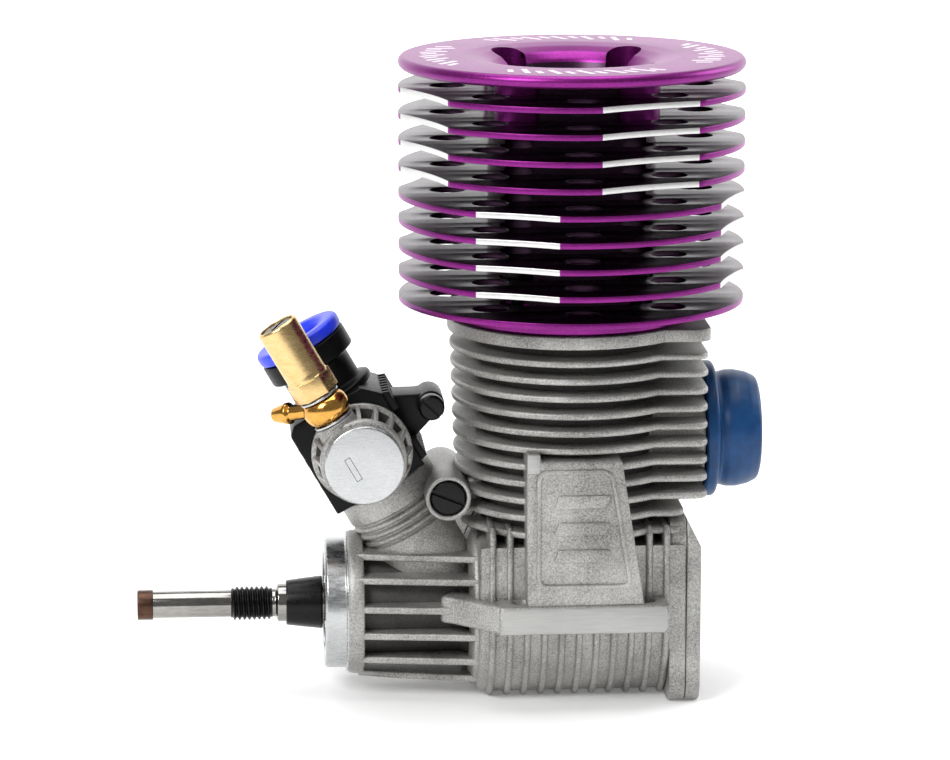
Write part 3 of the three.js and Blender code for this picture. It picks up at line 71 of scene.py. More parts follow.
class Axis(Enum):
    """Which way a turned or pressed form lies: the rows of a matrix from drawing to place.

    A pressed outline is drawn as (Y, Z) for X, as (X, Z) for Y and as (X, Y) for Z, and its
    thickness runs along the named axis.
    """

    X = ((0.0, 0.0, 1.0), (1.0, 0.0, 0.0), (0.0, 1.0, 0.0))
    Y = ((1.0, 0.0, 0.0), (0.0, 0.0, 1.0), (0.0, 1.0, 0.0))
    Z = ((1.0, 0.0, 0.0), (0.0, 1.0, 0.0), (0.0, 0.0, 1.0))

    def turn(self, points: np.ndarray) -> np.ndarray:
        """Points drawn about local Z, turned to lie along this axis."""
        return points @ np.array(self.value).T

    def wind(self, faces: list[list[int]]) -> list[list[int]]:
        """Faces in the order that keeps them outward, as Y mirrors what is drawn."""
        return [face[::-1] for face in faces] if self is Axis.Y else faces


@dataclass(frozen=True)
class Place:
    """A frame for a sub-assembly: ``row = spin @ millimetres + origin``, in metres."""

    spin: np.ndarray
    origin: np.ndarray

    def row(self, points: np.ndarray) -> np.ndarray:
        """Points in millimetres as row positions in metres."""
        return (points @ self.spin.T + self.origin) * MM

    def tilted(self, degrees: float, offset: tuple[float, float, float]) -> "Place":
        """A frame leaning about Y by the angle, whose origin lies at the offset in that frame."""
        a = math.radians(degrees)
        lean = np.array([[math.cos(a), 0, math.sin(a)], [0, 1, 0], [-math.sin(a), 0, math.cos(a)]])
        return Place(self.spin @ lean, self.origin + self.spin @ lean @ np.array(offset))


def engine_place() -> Place:
    """The engine's own frame, from the boxes of the head and the front bearing."""
    head = np.array([list(v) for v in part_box("cooling_head")]) / MM
    bearing = np.array([list(v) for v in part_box("front_bearing_outer_race")]) / MM
    middle = [head[:, 0].mean(), head[:, 1].mean(), bearing[:, 2].mean()]
    return Place(np.eye(3), np.array(middle))


ENGINE = engine_place()
CARB_TILT = -30.0
CARB = ENGINE.tilted(CARB_TILT, (-18.3, 0.0, 0.0))
SLIDE_HEIGHT = 45.6


# ------------------------------------------------------------------------- outlines


def arc(
    centre: tuple[float, float], radius: float, start: float, end: float, steps: int = 16
) -> np.ndarray:
    """Points round a circle: centre plus radius times (cos, sin) of evenly spaced degrees."""
    a = np.radians(np.linspace(start, end, steps + 1))
    return np.stack([centre[0] + radius * np.cos(a), centre[1] + radius * np.sin(a)], 1)


def circle(centre: tuple[float, float], radius: float, steps: int = 32) -> np.ndarray:
    """A whole circle without its repeated last point."""
    return arc(centre, radius, 0.0, 360.0, steps)[:-1]


def soften(points: np.ndarray, radius: float, steps: int = 3, closed: bool = True) -> np.ndarray:
    """Rounds each corner of an outline.

    Formula: a corner is replaced by the quadratic curve between the two points that lie
    ``radius`` from it along its edges (at most 0.45 of an edge), with the corner as control.

    Args:
        points: corners, one per row.
        radius: distance from a corner at which its curve starts.
        steps: spans in each curve.
        closed: whether the last corner joins the first.

    Returns:
        The rounded outline, one point per row.
    """
    p = np.asarray(points, float)
    before, after = np.roll(p, 1, 0), np.roll(p, -1, 0)

    def toward(q: np.ndarray) -> np.ndarray:
        """The points that lie the radius from each corner towards its neighbour."""
        edge = q - p
        length = np.linalg.norm(edge, axis=1, keepdims=True)
        return p + edge / np.maximum(length, 1e-9) * np.minimum(radius, 0.45 * length)

    t = np.linspace(0.0, 1.0, steps + 1)[None, :, None]
    curve = (
        (1 - t) ** 2 * toward(before)[
            :, None
        ] + 2 * t * (1 - t) * p[:, None] + t**2 * toward(after)[:, None]
    )
    if closed:
        return curve.reshape(-1, 2)
    inner = curve[1:-1].reshape(-1, 2)
    return np.concatenate([p[:1], inner, p[-1:]])


def strip(centre: tuple[float, float], length: float, width: float, degrees: float) -> np.ndarray:
    """A rectangle about its centre, with its length turned by the angle."""
    a = math.radians(degrees)
    corners = np.array([[-1, -1], [1, -1], [1, 1], [-1, 1]]) * [length / 2, width / 2]
    return corners @ np.array([[math.cos(a), math.sin(a)], [-math.sin(a), math.cos(a)]]) + centre


def plain_tube(inner: float, outer: float, low: float, high: float) -> list[tuple[float, float]]:
    """Profile of a plain tube or, from a radius of 0, of a rod."""
    return [(inner, low), (outer, low), (outer, high), (inner, high)]


def signed_area(outline: np.ndarray) -> float:
    """Half the sum of cross products: positive when the outline runs anticlockwise."""
    x, y = outline.T
    return 0.5 * float(np.sum(x * np.roll(y, -1) - np.roll(x, -1) * y))


def inset(outline: np.ndarray, distance: float) -> np.ndarray:
    """An anticlockwise outline moved inwards along the bisector of each corner's two normals."""
    ahead = np.roll(outline, -1, 0) - outline
    ahead /= np.maximum(np.linalg.norm(ahead, axis=1, keepdims=True), 1e-9)
    normal = np.stack([-ahead[:, 1], ahead[:, 0]], 1)
    behind = np.roll(normal, 1, 0)
    mean = normal + behind
    mean /= np.maximum(np.linalg.norm(mean, axis=1, keepdims=True), 1e-9)
    reach = 1.0 / np.maximum(np.sum(mean * normal, 1, keepdims=True), 0.5)
    return outline + mean * reach * distance


def about(axis: str, degrees: float) -> np.ndarray:
    """A rotation matrix about X, Y or Z."""
    c, s = math.cos(math.radians(degrees)), math.sin(math.radians(degrees))
    return np.array(
        {
            "x": [[1, 0, 0], [0, c, -s], [0, s, c]], "y": [[c, 0, s], [0, 1, 0], [-s, 0, c]],
            "z": [[c, -s, 0], [s, c, 0], [0, 0, 1]],
        }[axis]
    )


def between(side: float, near: float, far: float) -> tuple[float, float]:
    """The span between two distances from the middle plane, on the given side of it."""
    return (-far, -near) if side < 0 else (near, far)


# ---------------------------------------------------------------------------- forms


@dataclass
class Form:
    """Closed surfaces gathered into one mesh, each with the finish of its faces."""

    place: Place
    points: list[np.ndarray] = field(default_factory=list)
    faces: list[list[int]] = field(default_factory=list)
    finish: list[int] = field(default_factory=list)
    count: int = 0

    def take(self, points: np.ndarray, faces: list[list[int]], finish: int = 0) -> "Form":
        """Adds a surface whose points are in the place's millimetres."""
        self.points.append(self.place.row(points))
        self.faces.extend([[i + self.count for i in face] for face in faces])
        self.finish.extend([finish] * len(faces))
        self.count += len(points)
        return self

    def join(self, other: "Form") -> "Form":
        """Adds another form, which may lie in another place."""
        self.points += other.points
        self.faces += [[i + self.count for i in face] for face in other.faces]
        self.finish += other.finish
        self.count += other.count
        return self

    def turned(
        self,
        profile: list[tuple[float, float]],
        axis: Axis = Axis.Z,
        at: tuple[float, float, float] = (0.0, 0.0, 0.0),
        edge: float = 0.2,
        steps: int = 64,
        finish: int = 0,
        spin: np.ndarray | None = None,
    ) -> "Form":
        """Adds a lathe-turned surface.

        Formula: point(t, a) = (r(t) cos a, r(t) sin a, h(t)), with the profile's corners
        rounded; a profile that starts and ends at r = 0 gets one point at each pole.

        Args:
            profile: (radius, height) corners, closed on themselves or on the axis.
            axis: which way the axis lies.
            at: where the profile's zero lies.
            edge: how much each corner is rounded.
            steps: facets to a turn.
            finish: index of the material.
            spin: an extra rotation matrix, applied before the move to ``at``.

        Returns:
            This form.
        """
        raw = np.array(profile, float)
        poled = raw[0, 0] == 0.0 and raw[-1, 0] == 0.0
        outline = soften(raw, edge, closed=not poled)
        if signed_area(outline) < 0:
            outline = outline[::-1]
        rim = outline[1:-1] if poled else outline
        a = np.linspace(0.0, TAU, steps, endpoint=False)
        ring = np.stack([np.cos(a), np.sin(a)], 1)
        grid = np.concatenate(
            [
                rim[:, None, :1] * ring[None],
                np.broadcast_to(rim[:, None, 1:], (len(rim), steps, 1)),
            ],
            2,
        ).reshape(-1, 3)
        rows = len(rim) if not poled else len(rim) - 1
        i, j = np.meshgrid(np.arange(rows), np.arange(steps), indexing="ij")
        k, n = (i + 1) % len(rim), (j + 1) % steps
        quads = np.stack([i * steps + j, i * steps + n, k * steps + n, k * steps + j], -1)
        faces = quads.reshape(-1, 4).tolist()
        if poled:
            poles = np.array([[0, 0, outline[0, 1]], [0, 0, outline[-1, 1]]])
            first = len(grid)
            grid = np.concatenate([grid, poles])
            last = (len(rim) - 1) * steps
            faces += [[first, (q + 1) % steps, q] for q in range(steps)]
            faces += [[first + 1, last + q, last + (q + 1) % steps] for q in range(steps)]
        points = axis.turn(grid)
        if spin is not None:
            points = points @ spin.T
        return self.take(points + np.array(at), axis.wind(faces), finish)

    def pressed(
        self,
        outline: np.ndarray,
        low: float,
        high: float,
        axis: Axis = Axis.Z,
        edge: float = 0.3,
        finish: int = 0,
        at: tuple[float, float, float] = (0.0, 0.0, 0.0),
        spin: np.ndarray | None = None,
    ) -> "Form":
        """Adds an outline given thickness, with its rims rounded over.

        Formula: ring k of the rim is the outline moved in by edge·(1 − sin q) at a height
        edge·(1 − cos q) from the face, for q from 0 to 90 degrees, mirrored at the other face.

        Args:
            outline: the outline, one point per row.
            low: height of the lower face.
            high: height of the upper face.
            axis: which way the thickness lies.
            edge: radius of the rim.
            finish: index of the material.
            at: where the outline's zero lies.
            spin: an extra rotation matrix, applied before the move to ``at``.

        Returns:
            This form.
        """
        base = outline if signed_area(outline) > 0 else outline[::-1]
        q = np.radians(np.linspace(0.0, 90.0, 4))
        ins = edge * (1 - np.sin(q))
        up = edge * (1 - np.cos(q))
        levels = [(d, low + h) for d, h in zip(ins, up)] + [
            (d, high - h) for d, h in zip(ins[::-1], up[::-1])
        ]
        rings = [np.column_stack([inset(base, d), np.full(len(base), h)]) for d, h in levels]
        n, rows = len(base), len(rings)
        i, j = np.meshgrid(np.arange(rows - 1), np.arange(n), indexing="ij")
        m = (j + 1) % n
        quads = np.stack([i * n + j, i * n + m, (i + 1) * n + m, (i + 1) * n + j], -1)
        points = axis.turn(np.concatenate(rings))
        if spin is not None:
            points = points @ spin.T
        points = points + np.array(at)
        top = list(range((rows - 1) * n, rows * n))
        bottom = list(range(n))[::-1]
        sides = quads.reshape(-1, 4).tolist() + [bottom, top]
        return self.take(points, axis.wind(sides), finish)

    def pierced(
        self,
        outline: np.ndarray,
        holes: list[np.ndarray],
        low: float,
        high: float,
        axis: Axis = Axis.Z,
        edge: float = 0.15,
        finish: int = 0,
    ) -> "Form":
        """Adds a plate with holes, filled as a flat curve and made a mesh before it is placed.

        Args:
            outline: the outer edge.
            holes: the edge of each hole.
            low: height of the lower face.
            high: height of the upper face.
            axis: which way the thickness lies.
            edge: radius of the rounded rims.
            finish: index of the material.

        Returns:
            This form.
        """
        data = bpy.data.curves.new("flat", "CURVE")
        data.dimensions, data.fill_mode = "2D", "BOTH"
        data.extrude = (high - low) / 2 - edge
        data.bevel_depth, data.bevel_resolution, data.offset = edge, 1, -edge
        for ring in [outline, *holes]:
            spline = data.splines.new("POLY")
            spline.points.add(len(ring) - 1)
            flat = np.column_stack([ring, np.zeros(len(ring)), np.ones(len(ring))])
            spline.points.foreach_set("co", flat.astype(np.float32).ravel())
            spline.use_cyclic_u = True
        holder = bpy.data.objects.new("flat", data)
        bpy.context.scene.collection.objects.link(holder)
        mesh = bpy.data.meshes.new_from_object(
            holder.evaluated_get(bpy.context.evaluated_depsgraph_get())
        )
        bpy.data.objects.remove(holder)
        bpy.data.curves.remove(data)
        built = bmesh.new()
        built.from_mesh(mesh)
        bmesh.ops.remove_doubles(built, verts=built.verts, dist=1e-4)
        bmesh.ops.recalc_face_normals(built, faces=built.faces)
        built.to_mesh(mesh)
        built.free()
        points = np.empty(len(mesh.vertices) * 3)
        mesh.vertices.foreach_get("co", points)
        points = points.reshape(-1, 3) + [0, 0, (low + high) / 2]
        faces = [list(p.vertices) for p in mesh.polygons]
        bpy.data.meshes.remove(mesh)
        return self.take(axis.turn(points), axis.wind(faces), finish)

    def mesh(self, name: str) -> bpy.types.Object:
        """The form as one object at the origin, smooth where its faces meet gently."""
        data = bpy.data.meshes.new(name)
        data.from_pydata(np.concatenate(self.points).tolist(), [], self.faces)
        data.polygons.foreach_set("material_index", np.array(self.finish, np.int32))
        data.polygons.foreach_set("use_smooth", np.ones(len(self.faces), bool))
        data.set_sharp_from_angle(angle=CREASE)
        data.update()
        obj = bpy.data.objects.new(name, data)
        bpy.context.scene.collection.objects.link(obj)
        return obj


def carve(target: bpy.types.Object, tool: bpy.types.Object) -> bpy.types.Object:
    """Cuts the tool's solid out of the target's mesh and removes the tool."""
    step = target.modifiers.new("carve", "BOOLEAN")
    step.operation, step.solver, step.object = "DIFFERENCE", "EXACT", tool
    evaluated = target.evaluated_get(bpy.context.evaluated_depsgraph_get())
    carved = bpy.data.meshes.new_from_object(evaluated)
    target.modifiers.remove(step)
    target.data = carved
    target.data.set_sharp_from_angle(angle=CREASE)
    bpy.data.objects.remove(tool)
    return target


# ------------------------------------------------------------------------- materials


def linear(code: str) -> tuple[float, float, float, float]:
    """An sRGB hex colour as linear RGBA."""
    channels = [int(code.lstrip("#")[i : i + 2], 16) / 255 for i in (0, 2, 4)]
    return (*[c / 12.92 if c <= 0.04045 else ((c + 0.055) / 1.055) ** 2.4 for c in channels], 1.0)


def node(
    tree: bpy.types.NodeTree,
    kind: str,
    values: dict[str, object] | None = None,
    links: dict[str, bpy.types.NodeSocket] | None = None,
    **settings: object,
) -> bpy.types.Node:
    """Adds one node.

    Args:
        tree: the node tree to add to.
        kind: the node's type name.
        values: constant input values by socket name or number.
        links: sockets to link into inputs, by name or number.
        settings: properties of the node itself.

    Returns:
        The new node.
    """
    made = tree.nodes.new(kind)
    for key, value in settings.items():
        setattr(made, key, value)
    for key, value in (values or {}).items():
        made.inputs[key].default_value = value
    for key, source in (links or {}).items():
        tree.links.new(source, made.inputs[key])
    return made


class Pattern(Enum):
    """How a surface was made, which sets the pattern of its grain."""

    BLASTED = "blasted"
    TURNED = "turned"
    MILLED = "milled"
    MOULDED = "moulded"


@dataclass(frozen=True)
class Finish:
    """One finish: two colours that mix over the surface, and the grain its making left."""

    name: str
    light: str
    dark: str
    rough: tuple[float, float]
    metallic: float
    pattern: Pattern
    grain: float  # size of the grain, mm
    relief: float  # height of the grain, mm
    coat: float = 0.0
    glint: float = 0.5  # strength of the clear surface reflection

    def build(self) -> bpy.types.Material:
        """Makes the material: noise at the grain's size drives colour, roughness and bump."""
        material = bpy.data.materials.new(self.name)
        material.use_nodes = True
        tree = material.node_tree
        tree.nodes.clear()
        place = node(tree, "ShaderNodeTexCoord").outputs["Object"]
        stretch = {
            Pattern.BLASTED: (1.0, 1.0, 1.0), Pattern.MOULDED: (1.0, 1.0, 1.0),
            Pattern.TURNED: (0.25, 0.25, 1.0), Pattern.MILLED: (0.06, 1.0, 1.0),
        }[self.pattern]
        mapped = node(
            tree, "ShaderNodeMapping", {"Scale": stretch}, {"Vector": place}
        ).outputs["Vector"]
        grain = node(
            tree, "ShaderNodeTexNoise",
            {"Scale": 1.0 / (self.grain * MM), "Detail": 3.0, "Roughness": 0.6}, {"Vector": mapped},
        ).outputs["Fac"]
        cloud = node(
            tree, "ShaderNodeTexNoise", {"Scale": 1.0 / (9.0 * MM), "Detail": 2.0},
            {"Vector": place},
        ).outputs["Fac"]
        blend = node(tree, "ShaderNodeMath", {1: 0.35}, {0: cloud}, operation="MULTIPLY").outputs[0]
        shade = node(
            tree, "ShaderNodeMath", {1: 0.65, 2: 0.0}, {0: grain, 2: blend},
            operation="MULTIPLY_ADD",
        ).outputs[0]
        spread = node(
            tree, "ShaderNodeMapRange", {"From Min": 0.3, "From Max": 0.7}, {"Value": shade}
        ).outputs["Result"]
        colour = node(
            tree, "ShaderNodeMix", {6: linear(self.dark), 7: linear(self.light)}, {0: spread},
            data_type="RGBA",
        )
        rough = node(
            tree, "ShaderNodeMapRange",
            {"From Min": 0.3, "From Max": 0.7, "To Min": self.rough[0], "To Max": self.rough[1]},
            {"Value": grain},
        ).outputs["Result"]
        bump = node(
            tree, "ShaderNodeBump", {"Strength": 1.0, "Distance": self.relief * MM},
            {"Height": grain},
        ).outputs["Normal"]
        shader = node(
            tree, "ShaderNodeBsdfPrincipled",
            {
                "Metallic": self.metallic, "Coat Weight": self.coat, "Coat Roughness": 0.28,
                "Specular IOR Level": self.glint,
            },
            {"Base Color": colour.outputs[2], "Roughness": rough, "Normal": bump},
        )
        node(tree, "ShaderNodeOutputMaterial", None, {"Surface": shader.outputs["BSDF"]})
        return material


# Grey speckle under broad soft highlights: the case reads as blasted casting.
CAST = Finish(
    "shot_blasted_aluminium", "#d0cfcc", "#5c5a57", (0.34, 0.54), 0.65, Pattern.BLASTED, 0.3, 0.09
)
# Painted shade: a nearly black grey copy of the cast metal, put where shade falls in the gaps
# between ribs and fins.
SHADED = Finish(
    "cast_aluminium_painted_shade", "#5a5957", "#2e2d2c", (0.5, 0.7), 0.4, Pattern.BLASTED, 0.3, 0.07
)
# Bright and slightly streaked, so flat turned faces catch the lamps.
SATIN = Finish(
    "machined_aluminium", "#cfd0d1", "#b4b6b7", (0.22, 0.34), 1.0, Pattern.TURNED, 0.5, 0.003
)
# Fine streaks along the cut: the sawn-bright faces of the mounting lugs.
MILLED = Finish(
    "milled_aluminium", "#bcbcba", "#a6a6a4", (0.34, 0.46), 0.7, Pattern.MILLED, 0.35, 0.006
)
# Almost white cut metal: the scallops flash against the purple discs.
BARE = Finish(
    "bright_cut_aluminium", "#e9e9e8", "#d4d4d3", (0.3, 0.4), 0.7, Pattern.MILLED, 0.35, 0.003
)
# Magenta-purple metal under a thin clear layer: disc rims and bowl.
PURPLE = Finish(
    "purple_anodised_aluminium", "#98268f", "#651060", (0.3, 0.44), 0.9, Pattern.BLASTED, 0.3,
    0.014, 0.2,
)
# Painted shade: a very deep purple copy of the anodising on the disc faces and the core, where
# shade falls between the discs.
PURPLE_SHADE = Finish(
    "purple_anodised_painted_shade", "#3c0f3a", "#210720", (0.3, 0.42), 0.9, Pattern.BLASTED, 0.3, 0.006,
    0.45,
)
# Mirror-like grey with sharp highlights along the ground shaft.
STEEL = Finish("ground_steel", "#a6a4a1", "#85837f", (0.1, 0.18), 1.0, Pattern.TURNED, 0.5, 0.001)
# Brown heat colour at the shaft tip.
BROWN = Finish(
    "heat_tinted_steel", "#65493b", "#3a2a23", (0.3, 0.42), 0.9, Pattern.TURNED, 0.5, 0.003
)
# Black with a faint metal sheen: screws, thread and cone.
BLACK_STEEL = Finish(
    "black_oxide_steel", "#161617", "#0a0a0b", (0.24, 0.38), 0.6, Pattern.BLASTED, 0.4, 0.004
)
# Pale brass with soft streaks from turning.
BRASS = Finish(
    "machined_brass", "#ead09a", "#d8b275", (0.24, 0.32), 1.0, Pattern.TURNED, 0.5, 0.0008
)
# Warmer and more mirror-like than the turned brass.
GOLD = Finish("polished_brass", "#e8b561", "#cb9344", (0.12, 0.2), 1.0, Pattern.BLASTED, 0.8, 0.002)
# Dull black with little reflection, so moulded edges stay quiet.
COMPOSITE = Finish(
    "moulded_black_composite", "#0f1011", "#060607", (0.3, 0.42), 0.0, Pattern.MOULDED, 0.6, 0.008,
    0.0, 0.16,
)
# Matt black without highlights.
RUBBER = Finish(
    "black_rubber", "#121212", "#080808", (0.6, 0.75), 0.0, Pattern.MOULDED, 0.5, 0.01, 0.0, 0.25
)
# Bright blue soft plastic, slightly waxy.
ROYAL = Finish(
    "royal_blue_plastic", "#2342f0", "#152ccc", (0.34, 0.44), 0.0, Pattern.MOULDED, 1.2, 0.01, 0.15
)
# Deep steel blue with a broad dull sheen.
NAVY = Finish(
    "steel_blue_plastic", "#124a80", "#0b3562", (0.34, 0.44), 0.0, Pattern.MOULDED, 2.0, 0.006,
    0.06, 0.3,
)
# Off-white dull marking on the purple.
MARK = Finish(
    "laser_marked_oxide", "#f0eaf0", "#d9ccda", (0.5, 0.65), 0.0, Pattern.MOULDED, 0.5, 0.004
)
# Pink-brown soft metal of the seals.
COPPER = Finish("soft_copper", "#c98062", "#a6603f", (0.3, 0.4), 1.0, Pattern.TURNED, 0.5, 0.003)

_made: dict[str, bpy.types.Material] = {}


def material(finish: Finish) -> bpy.types.Material:
    """The finish's material, made once."""
    if finish.name not in _made:
        _made[finish.name] = finish.build()
    return _made[finish.name]


def dress(
    piece: bpy.types.Object, finishes: list[Finish], body: str, slot: str, *nodes: str
) -> bpy.types.Object:
    """Gives a new piece its materials and its body, and hides the CAD nodes it stands for."""
    for finish in finishes:
        piece.data.materials.append(material(finish))
    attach(piece, body)
    if nodes:
        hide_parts(*nodes)
    log.info("%s: %d faces on %s", piece.name, len(piece.data.polygons), body)
    return piece


def repaint(node_name: str, finish: Finish) -> None:
    """Puts a finish on a CAD node that stays in view."""
    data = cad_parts[node_name].data
    data.materials.clear()
    data.materials.append(material(finish))


def middles(data: bpy.types.Mesh) -> np.ndarray:
    """The middle of each face, in the engine's millimetres."""
    centres = np.empty(len(data.polygons) * 3)
    data.polygons.foreach_get("center", centres)
    return centres.reshape(-1, 3) / MM - ENGINE.origin


# ---------------------------------------------------------------------- cooling head


@dataclass
class CoolingHead:
    """Turned aluminium head: a core and bowl with ten discs, drilled and scalloped."""

    radius: float = 31.4
    top_middle: float = 99.95
    pitch: float = 4.75
    fins: int = 9
    thickness: float = 1.05
    top_thickness: float = 2.4
    core: float = 15.0
    boss: float = 22.0
    deck: float = 53.65
    seat: float = 60.0
    well_offset: float = 10.5
    well_radius: float = 3.3
    column: tuple[float, float] = (3.25, 4.3)
    hole_circle: float = 22.5
    hole_radius: float = 3.25
    cutter: float = 60.0
    upper_cuts: tuple[float, float] = (22.5, 28.9)  # phase in degrees, depth from the axis
    lower_cuts: tuple[float, float] = (66.6, 30.05)
    mark_circle: float = 25.2
    mark_step: float = 6.0
    mark_lean: float = 28.0

    def level(self, k: int) -> float:
        """Height of disc k's middle, counted down from the top disc."""
        return self.top_middle - k * self.pitch

    def wells(self) -> list[tuple[float, float, float]]:
        """Centres of the four screw wells."""
        angles = [math.radians(45.0 + 90.0 * quarter) for quarter in range(4)]
        reach = self.well_offset * math.sqrt(2.0)
        return [(reach * math.cos(a), reach * math.sin(a), 0.0) for a in angles]

    def rim(self, cuts: tuple[float, float] | None) -> np.ndarray:
        """Disc edge: r(a) is the lesser of the radius and where the ray meets a cutter's circle."""
        a = np.radians(np.arange(0.0, 360.0, 1.5))
        r = np.full(len(a), self.radius)
        for quarter in range(4) if cuts else []:
            off = a - math.radians(cuts[0] + 90.0 * quarter)
            far = cuts[1] + self.cutter
            root = self.cutter**2 - (far * np.sin(off)) ** 2
            reach = far * np.cos(off) - np.sqrt(np.maximum(root, 0.0))
            r = np.where((root > 0) & (np.cos(off) > 0), np.minimum(r, reach), r)
        return np.stack([r * np.cos(a), r * np.sin(a)], 1)

    def eye(self) -> np.ndarray:
        """Middle opening of a disc: the core's circle widened by the four screw wells."""
        a = np.radians(np.arange(0.0, 360.0, 2.0))
        r = np.full(len(a), self.core - 0.1)
        distance = self.well_offset * math.sqrt(2.0)
        for quarter in range(4):
            off = a - math.radians(45.0 + 90.0 * quarter)
            under = self.well_radius**2 - (distance * np.sin(off)) ** 2
            reach = distance * np.cos(off) + np.sqrt(np.maximum(under, 0.0))
            r = np.where((under > 0) & (np.cos(off) > 0), np.maximum(r, reach), r)
        return np.stack([r * np.cos(a), r * np.sin(a)], 1)

    def build(self) -> None:
        """Core, bowl and top disc turned and carved, then the drilled discs."""
        top = self.top_middle + self.top_thickness / 2 - 0.015
        under = top - self.top_thickness
        core = Form(ENGINE).turned(
            [
                (12.6, self.deck), (self.boss, self.deck), (self.boss, self.level(9) - 0.4),
                (self.core, self.level(9)), (self.core, under - 0.01), (self.core + 0.02, under),
                (self.radius - 0.6, under + 0.1), (self.radius, under + 0.9),
                (self.radius, top - 0.7), (self.radius - 0.6, top), (19.6, top), (16.6, top - 0.45),
                (14.3, top - 1.3), (13.2, top - 2.6), (12.2, top - 5.5), (9.0, top - 11.5),
                (9.0, self.seat), (6.25, self.seat), (6.25, 56.7), (12.6, 56.7),
            ],
            edge=0.45, steps=192,
        )
        wells = Form(ENGINE)
        bore, rise = self.well_radius, top + 2
        for centre in self.wells():
            wells.turned(plain_tube(0.0, bore, self.seat, rise), at=centre, edge=0.0, steps=48)
        body = carve(core.mesh("cooling_head_core"), wells.mesh("wells"))
        self.paint_wall_shade(body)
        dress(body, [PURPLE, PURPLE_SHADE], "engine", "purple_anodised", "cooling_head")
        columns = Form(ENGINE)
        inner, outer = self.column
        foot, crown = self.level(2), under + 0.2
        for centre in self.wells():
            columns.turned(plain_tube(inner, outer, foot, crown), at=centre, edge=0.0, steps=48)
        bowl = Form(ENGINE).turned(
            [
                (0, 85.0), (9.1, 85.0), (9.1, top - 11.4), (12.3, top - 5.4), (13.3, top - 2.5),
                (14.4, top - 1.2), (16.8, top), (0, top),
            ],
            edge=0.0, steps=96,
        )
        dress(
            carve(columns.mesh("well_walls"), bowl.mesh("bowl")), [PURPLE], "engine",
            "purple_anodised",
        )

        self.marks(top)
        discs = Form(ENGINE)
        holes = [
            circle(
                (self.hole_circle * math.cos(a), self.hole_circle * math.sin(a)), self.hole_radius,
                40,
            )
            for a in np.radians(np.arange(0.0, 360.0, 45.0))
        ]
        for k in range(1, self.fins + 1):
            cuts = self.upper_cuts if k <= 4 else self.lower_cuts if k <= 8 else None
            z, half = self.level(k), self.thickness / 2
            discs.pierced(self.rim(cuts), [self.eye(), *holes], z - half, z + half, edge=0.12)
        fins = discs.mesh("cooling_head_fins")
        self.bare_cuts(fins)
        dress(fins, [PURPLE, BARE, PURPLE_SHADE], "engine", "purple_anodised")

    def paint_wall_shade(self, body: bpy.types.Object) -> None:
        """Puts painted shade, the deep purple, on the core's outer wall between the discs."""
        data = body.data
        p = middles(data)
        wall = (p[:, 2] < self.top_middle - 2.0) & (p[:, 2] > self.level(9) + 1.0)
        wall &= np.hypot(p[:, 0], p[:, 1]) > 9.1
        data.polygons.foreach_set("material_index", wall.astype(np.int32))

    def marks(self, top: float) -> None:
        """Laser-marked ring of plain bars, in four groups between the screw wells."""
        marks = Form(ENGINE)
        for quarter in range(4):
            for step in range(-5, 6):
                angle = 90.0 * quarter + self.mark_step * step
                a = math.radians(angle)
                middle = self.mark_circle + 0.6 * (step % 2)
                centre = (middle * math.cos(a), middle * math.sin(a))
                bar = strip(centre, 5.2 - 2.2 * (step % 2), 1.0, angle + self.mark_lean)
                marks.pressed(bar, top - 0.05, top + 0.012, Axis.Z, 0.0)
        dress(marks.mesh("laser_marks"), [MARK], "engine", "purple_anodised")

    def bare_cuts(self, fins: bpy.types.Object) -> None:
        """Puts the bare finish on the scalloped cuts and painted shade, the deep purple, on level
        and inner faces.
        """
        data = fins.data
        p = middles(data)
        bare = np.zeros(len(p), bool)
        for (phase, distance), first, last in ((self.upper_cuts, 1, 4), (self.lower_cuts, 5, 8)):
            high, low = self.level(first) + 2, self.level(last) - 2
            for quarter in range(4):
                a = math.radians(phase + 90.0 * quarter)
                far = distance + self.cutter
                gap = np.hypot(
                    p[:, 0] - far * math.cos(a), p[:, 1] - far * math.sin(a)
                ) - self.cutter
                bare |= (gap < 0.1) & (p[:, 2] < high) & (p[:, 2] > low)
        normals = np.empty(len(data.polygons) * 3)
        data.polygons.foreach_get("normal", normals)
        # Painted shade: level faces and the inner ring of each disc get the deep purple.
        level = (np.abs(normals[2::3]) > 0.9) | (
            np.hypot(p[:, 0], p[:, 1]) < self.hole_circle + 4.0
        )
        index = np.where(bare, 1, np.where(level, 2, 0))
        data.polygons.foreach_set("material_index", index.astype(np.int32))


# ------------------------------------------------------------------------- crankcase


